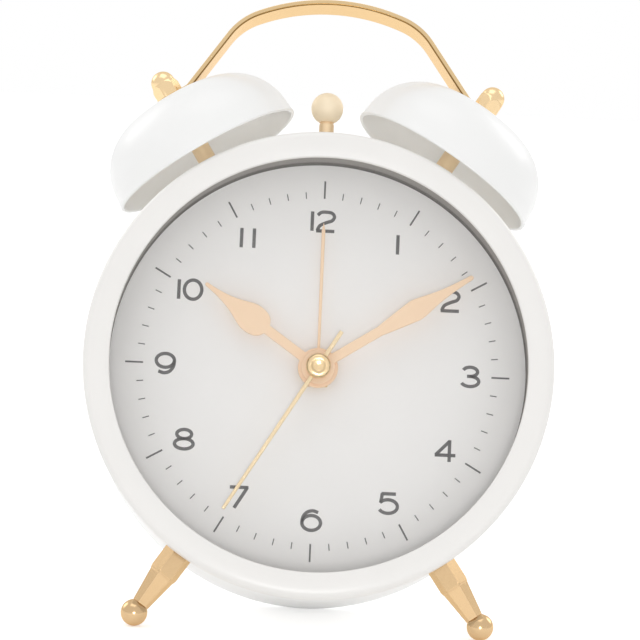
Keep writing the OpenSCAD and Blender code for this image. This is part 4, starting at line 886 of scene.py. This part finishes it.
chamfer = np.linspace((nut_corner, chamfer_low), (DOME_R, NUT_HEX), 9)[1:]
nut_section = np.concatenate([nut_low, chamfer, dome]) + (0, TAB_TOP)


def dome_nut(turn):
    """Dome nut on the right bell: the smaller of its section and a hexagon with one corner at an angle."""
    return turned(nut_section, *bell_frame, HEX_COUNT, turn, hexagon(NUT_FLATS, turn))


nuts = [dome_nut(RIGHT_NUT_TURN), mirrored(dome_nut(LEFT_NUT_TURN))]
make_piece("dome_nut_pair", nuts, "pale_gold", "bell_nuts", sharp=20)

# %% [markdown]
# ## Handle
# The handle is a flat gold strip bent into an arch. Its sides run down to a bend on each bell, and a tab
# with a rounded end lies under the dome nut. A section with rolled edges is carried along the bent line,
# and its width follows a circle at the ends of the tabs. A dark line along the two inner edges is painted
# shade and dark reflection at the bevel, so each point also carries a number that marks those edges for the
# finish.

# %% Bend the handle
STRIP_W, STRIP_T, STRIP_EDGES, DARK_LINE_SHARE = 10.2, 1.2, (0.14, 0.14, 0.3, 0.3), 1.01
ARCH_TOP, ARCH_R, BOW_R, SLOPE = 91.6, 47.2, 16.2, math.radians(55.3)
TAB_LEN, TAB_END_R, BEND_R = 4.25, 6.324, 1.6
flat_axis, flat_side = bell_axis[[0, 2]], bell_side[[0, 2]]
tab_axis = np.array([BELL_X, BELL_Z]) + BELL_H * flat_axis
bend_at = tab_axis - TAB_LEN * flat_side + STRIP_T * flat_axis
side_up = np.array([-math.cos(SLOPE), math.sin(SLOPE)])
side_in = np.array([-math.sin(SLOPE), -math.cos(SLOPE)])
arch_centre = np.array([0, ARCH_TOP - ARCH_R])
offset = bend_at + BOW_R * side_in - arch_centre
reach = -offset @ side_up + math.sqrt((offset @ side_up) ** 2 - offset @ offset + (ARCH_R - BOW_R) ** 2)
bow_centre = arch_centre + offset + reach * side_up
bow_start = math.degrees(math.atan2(*(bow_centre - arch_centre)[::-1]))
bow_end = 90 - math.degrees(SLOPE)
tab_tip = tab_axis + STRIP_W / 2 * flat_side + STRIP_T * flat_axis
bow_points = arc(bow_centre, BOW_R, bow_start, bow_end, 24)
bend_points = roll_corners([bow_points[-1], bend_at, tab_tip], (0, BEND_R, 0), 8)[1:-1]
tab_steps = 1 - (1 - np.linspace(0, 1, 26)[1:]) ** 2
tab_points = bend_points[-1] + tab_steps[:, None] * (tab_tip - bend_points[-1])
arch_points = arc(arch_centre, ARCH_R, 90, bow_start, 20)
half_line = np.concatenate([arch_points, bow_points[1:], bend_points, tab_points])
strip_line = np.concatenate([half_line[:0:-1] * (-1, 1), half_line])


def carry_strip(line, width, thick, edges, end_r):
    """Section with rolled corners carried along a line in x and z, as wide as a circle at its ends."""
    tangent = unit(np.gradient(line, axis=0))
    inward = np.stack([tangent[:, 1], -tangent[:, 0]], -1)
    step = np.linalg.norm(np.diff(line, axis=0), axis=1)
    from_start = np.concatenate([[0], np.cumsum(step)])
    to_end = np.minimum(from_start, from_start[-1] - from_start)
    half = np.where(to_end < end_r, np.sqrt(np.maximum(to_end * (2 * end_r - to_end), 0)), width / 2)
    share = np.minimum(half / (width / 2), 1)
    corners = [(-width / 2, 0), (width / 2, 0), (width / 2, thick), (-width / 2, thick)]
    section = roll_corners(corners, edges, 4)
    depth = section[None, :, 0] * share[:, None] + BELL_DEPTH
    flat = line[:, None] + section[None, :, 1, None] * inward[:, None]
    # Painted shade and dark reflection: the two inner edges are marked for a painted dark line.
    dark_band = edges[2] * DARK_LINE_SHARE
    on_edge = (np.abs(section[:, 0]) > width / 2 - dark_band) & (section[:, 1] > thick - dark_band)
    grid = np.stack([flat[..., 0], depth, flat[..., 1]], -1)
    return (grid, False, True), np.tile(on_edge.astype(float), len(line))


strip, strip_dark_line = carry_strip(strip_line, STRIP_W, STRIP_T, STRIP_EDGES, TAB_END_R)
make_piece("handle_strip", [strip], "handle_gold", "handle", sharp=40, dark_line=strip_dark_line)

# %% [markdown]
# ## Hammer
# Between the bells a satin ball sits on a rod that comes up through the slot. A plain sphere on a plain
# cylinder would look glued together, so the ball is turned with a socket for the rod, and the rod with a
# slimmer neck that leaves a fine groove under the ball.

# %% Turn hammer ball and rod
BALL_R, BALL_Z, BALL_COUNT, SOCKET_DEPTH, SOCKET_WALL = 3.9, 65.6, 128, 3.3, 0.2
ROD_R, ROD_LOW, ROD_ROLL, GROOVE_ROLL = 1.8, 45.05, 0.15, 0.1
GROOVE_IN, GROOVE_START, GROOVE_END, NECK_HIGH = 0.25, 0.45, 0.3, 0.15
hammer_frame = ((0, BELL_DEPTH, 0), Z_AXIS, X_AXIS)
ball_low = -math.degrees(math.acos(ROD_R / BALL_R))
socket_floor = BALL_Z - SOCKET_DEPTH
ball_arc = arc((0, BALL_Z), BALL_R, ball_low, 90, 48)
ball_section = np.concatenate([[(0, socket_floor), (ROD_R - SOCKET_WALL, socket_floor)], ball_arc])
ball = turned(ball_section, *hammer_frame, BALL_COUNT)
make_piece("ball", [ball], "satin_gold", "hammer_ball", "hammer")
groove_top = BALL_Z - BALL_R * math.sin(math.radians(-ball_low))
neck_r = ROD_R - GROOVE_IN
rod_corners = [(0, ROD_LOW), (ROD_R, ROD_LOW), (ROD_R, groove_top - GROOVE_START),
    (neck_r, groove_top - GROOVE_END), (neck_r, groove_top + NECK_HIGH), (0, groove_top + NECK_HIGH)]
rod_section = roll_corners(rod_corners, (0, ROD_ROLL, GROOVE_ROLL, 0, 0, 0), 3)
rod = turned(rod_section, *hammer_frame, SMALL)
make_piece("rod", [rod], "rod_gold", "hammer_rod", "hammer")

# %% [markdown]
# ## Legs
# A leg is a hexagon bar with a turned chamfer, and below it a slimmer hexagon with its corners under those
# of the bar tapers to the neck of a ball foot. As on the nuts, the radius is the smaller of hexagon and
# turned section, only that the hexagon's width now depends on the height, and the foot alone is round.

# %% Grind and turn the legs
LEG_ANGLE, LEG_DEPTH = math.radians(34.4), 12.5
LEG_FLATS, NECK_R, FOOT_REACH, FOOT_R, LEG_TURN = 6.2, 1.95, 71.8, 3.15, math.radians(75)
BAR_START, BAR_END, LEG_CHAMFER, CHAMFER_OUT, STEP = 53.9, 61.2, 1.3, 0.1, 0.35
TAPER_TOP, TAPER_LOW, SEAM = 2.82, 1.84, 0.02
leg_axis = np.array([math.sin(LEG_ANGLE), 0, -math.cos(LEG_ANGLE)])
leg_side = np.array([-math.cos(LEG_ANGLE), 0, -math.sin(LEG_ANGLE)])
leg_corner, taper_corner = np.array([LEG_FLATS / 2, TAPER_TOP]) / math.cos(math.pi / 6)
neck_angle = -math.degrees(math.acos(NECK_R / FOOT_R))
neck_at = FOOT_REACH + FOOT_R * math.sin(math.radians(neck_angle))
chamfer_at = BAR_END - LEG_CHAMFER
bar_part = [(0, BAR_START), (leg_corner, BAR_START), (leg_corner, chamfer_at)]
chamfer_part = np.linspace((leg_corner + CHAMFER_OUT, chamfer_at), (taper_corner, BAR_END), 13)
taper_part = np.linspace((taper_corner, BAR_END + SEAM), (taper_corner, neck_at - SEAM), 8)
foot_part = arc((0, FOOT_REACH), FOOT_R, neck_angle, 90, 40)
leg_section = np.concatenate([bar_part, chamfer_part, taper_part, foot_part])
hexagon_heights = [BAR_END - STEP, BAR_END, neck_at - SEAM, neck_at - SEAM / 2]
hexagon_halves = [LEG_FLATS / 2, TAPER_TOP, TAPER_LOW, LEG_FLATS]
unit_hexagon = hexagon(2.0, LEG_TURN)


def leg_limit(angle, height):
    """Hexagon of the bar down to its step, then of the taper; beyond the neck it is too wide to matter."""
    return np.interp(height, hexagon_heights, hexagon_halves) * unit_hexagon(angle, height)


leg = turned(leg_section, (0, LEG_DEPTH, 0), leg_axis, leg_side, HEX_COUNT, LEG_TURN, leg_limit)
for side, sheet in (("right", leg), ("left", mirrored(leg))):
    make_piece(f"leg_bar_{side}", [sheet], "leg_gold", f"leg_{side}", sharp=12)

# %% [markdown]
# ## Setting knobs
# Two white knobs at the back set the time and the alarm. Their rims have round grooves for the fingers. The
# knob is turned, and its radius is held below a limit that dips into a circle at each groove.

# %% Turn the knobs
KNOB_R, KNOB_FRONT, KNOB_H, GROOVES, GROOVE_R, GROOVE_OUT = 7.0, 49.4, 5.0, 24, 0.7, 0.25
DISH_RIM, DISH_SLOPE, DISH_DEEP, KNOB_ROLLS = 1.8, 0.3, 0.6, (0, 0.45, 0.6, 0.25, 0.25, 0)
POINTS_PER_GROOVE = 14
knob_back = KNOB_FRONT + KNOB_H


def groove_limit(angle, height):
    """Outside a groove there is no limit; inside it the radius stays in front of the groove's circle."""
    pitch = 2 * np.pi / GROOVES
    away = KNOB_R * ((angle + pitch / 2) % pitch - pitch / 2)
    dip = np.sqrt(np.maximum(GROOVE_R ** 2 - away ** 2, 0))
    return np.where(np.abs(away) < GROOVE_R, np.minimum(KNOB_R + GROOVE_OUT - dip, KNOB_R), KNOB_R)


def knob(shaft_r, x, z):
    """Turned knob with a socket in front and a shallow dish behind."""
    dish, dish_floor = KNOB_R - DISH_RIM, knob_back - DISH_DEEP
    corners = [(shaft_r, KNOB_FRONT), (KNOB_R, KNOB_FRONT), (KNOB_R, knob_back), (dish, knob_back),
        (dish - DISH_SLOPE, dish_floor), (0, dish_floor)]
    section = roll_corners(corners, KNOB_ROLLS, 4)
    return turned(section, (x, 0, z), count=GROOVES * POINTS_PER_GROOVE, limit=groove_limit)


for use, shaft_r, x, z in (("time", 1.6, 14.795, 6.670), ("alarm", 1.4, -5.6, 9.699)):
    make_piece(f"{use}_knob", [knob(shaft_r, x, z)], "white_moulding", f"{use}_set_knob",
        f"{use}_setter", sharp=38)

# %% [markdown]
# ## Pieces that keep their solids
# The movement, the striker, the cover with its battery bay, and the small fasteners are right as solids.
# They get the finish of their material in a loop. Nothing about their shape is touched.

# %% Finish the remaining solids
KEPT = {
    "bright_steel": ["retaining_ring", "cover_screws", "post_nuts", "hammer_lever", "hammer_pivot",
        "pivot_clip", "striker_yoke", "striker_screws", "step_stator"],
    "magnet_grey": ["hammer_magnet", "step_rotor"],
    "wheel_brass": ["dial_nut", "intermediate_wheel", "second_wheel", "third_wheel", "centre_wheel",
        "minute_pipe", "minute_wheel", "hour_wheel", "alarm_wheel", "battery_contacts"],
    "wound_copper": ["striker_coil", "step_coil"],
    "cream_moulding": ["movement_front", "movement_plate", "movement_rear", "time_set_shaft",
        "alarm_set_shaft"],
    "white_moulding": ["back_cover", "battery_door"],
    "grey_moulding": ["alarm_switch"],
    "board_lacquer": ["circuit_board"],
    "cell_sleeve": ["battery"],
}
for finish, names in KEPT.items():
    for name in names:
        dress(nodes[name], finish)
own = set(finishes.values())
plain_solids = [name for name, solid in nodes.items() if not own.issuperset(solid.data.materials)]
print("solids without a finish:", len(plain_solids), "of", len(nodes))

# %% [markdown]
# ## Floor, backdrop and light
# The clock stands in a white studio: a pale floor and an even white surround, one large soft light above
# it, one low in front that reaches into the bells without a glare on the pane, and one behind on each side.
# Rays that show the background see plain white, while the light that falls on the clock stays at a level at
# which a colour renders about as it is written. White paint passes light on many times before the bells are
# filled with it, so more bounces between dull surfaces are counted than Blender counts by itself.

# %% Build the studio
def show_background(tree):
    """Mask that is 1 for camera, glossy and transmission rays."""
    path = tree.nodes.new("ShaderNodeLightPath")
    seen = add_math(tree, "MAXIMUM", path.outputs["Is Camera Ray"], path.outputs["Is Glossy Ray"])
    return add_math(tree, "MAXIMUM", seen, path.outputs["Is Transmission Ray"])


SURROUND, FLOOR_LIFT, FLOOR_REACH = 0.68, 0.45, 6.0
DULL_BOUNCES = 12
WHITE = (1, 1, 1, 1)
world = bpy.data.worlds.new("studio")
bpy.context.scene.world = world
world.use_nodes = True
sky = world.node_tree
soft, plain = sky.nodes["Background"], sky.nodes.new("ShaderNodeBackground")
for background, strength in ((soft, SURROUND), (plain, 1.0)):
    background.inputs["Color"].default_value = WHITE
    background.inputs["Strength"].default_value = strength
show_either(sky, show_background(sky), soft.outputs[0], plain.outputs[0], "World Output")

floor_finish = mix_finish("floor_paper", (246, 246, 246), (243, 243, 243), 0.7, 0.05, 40, 0.02)
floor_tree = floor_finish.node_tree
floor_shader = floor_tree.nodes["Principled BSDF"]
floor_shader.inputs["Emission Color"].default_value = WHITE
lifted = add_math(floor_tree, "MULTIPLY", show_background(floor_tree), FLOOR_LIFT)
floor_tree.links.new(lifted, floor_shader.inputs["Emission Strength"])
floor_mesh = bpy.data.meshes.new("studio_floor")
corners = FLOOR_REACH * np.array([[-1, -1, 0], [1, -1, 0], [1, 1, 0], [-1, 1, 0]], float)
floor_mesh.from_pydata(corners.tolist(), [], [[0, 1, 2, 3]])
floor_mesh.materials.append(floor_finish)
floor = put_in_scene("studio_floor", floor_mesh)


def soft_light(name, place_at, target, size, power):
    """Square area light at a place, turned so that its minus z looks at the target."""
    lamp = bpy.data.lights.new(name, "AREA")
    lamp.size = size
    lamp.energy = power
    away = unit(np.subtract(place_at, target))
    across = unit(np.cross(Z_AXIS, away))
    turn = np.eye(4)
    turn[:3, :3] = np.stack([across, np.cross(away, across), away], -1)
    turn[:3, 3] = place_at
    put_in_scene(name, lamp).matrix_world = Matrix(turn.tolist())
    print(name, "power", power)


soft_light("top_light", (-0.1, -0.2, 1.4), (0, 0, 0.08), 1.0, 2.9)
soft_light("front_light", (0, -1.5, 0.13), (0, 0, 0.1), 0.26, 3.2)
soft_light("left_light", (-1.4, 0.95, 0.95), (0, 0, 0.08), 0.9, 4.6)
soft_light("right_light", (1.4, 0.95, 0.95), (0, 0, 0.08), 0.9, 5.0)
bpy.context.scene.view_settings.view_transform = "Standard"
bpy.context.scene.cycles.diffuse_bounces = DULL_BOUNCES
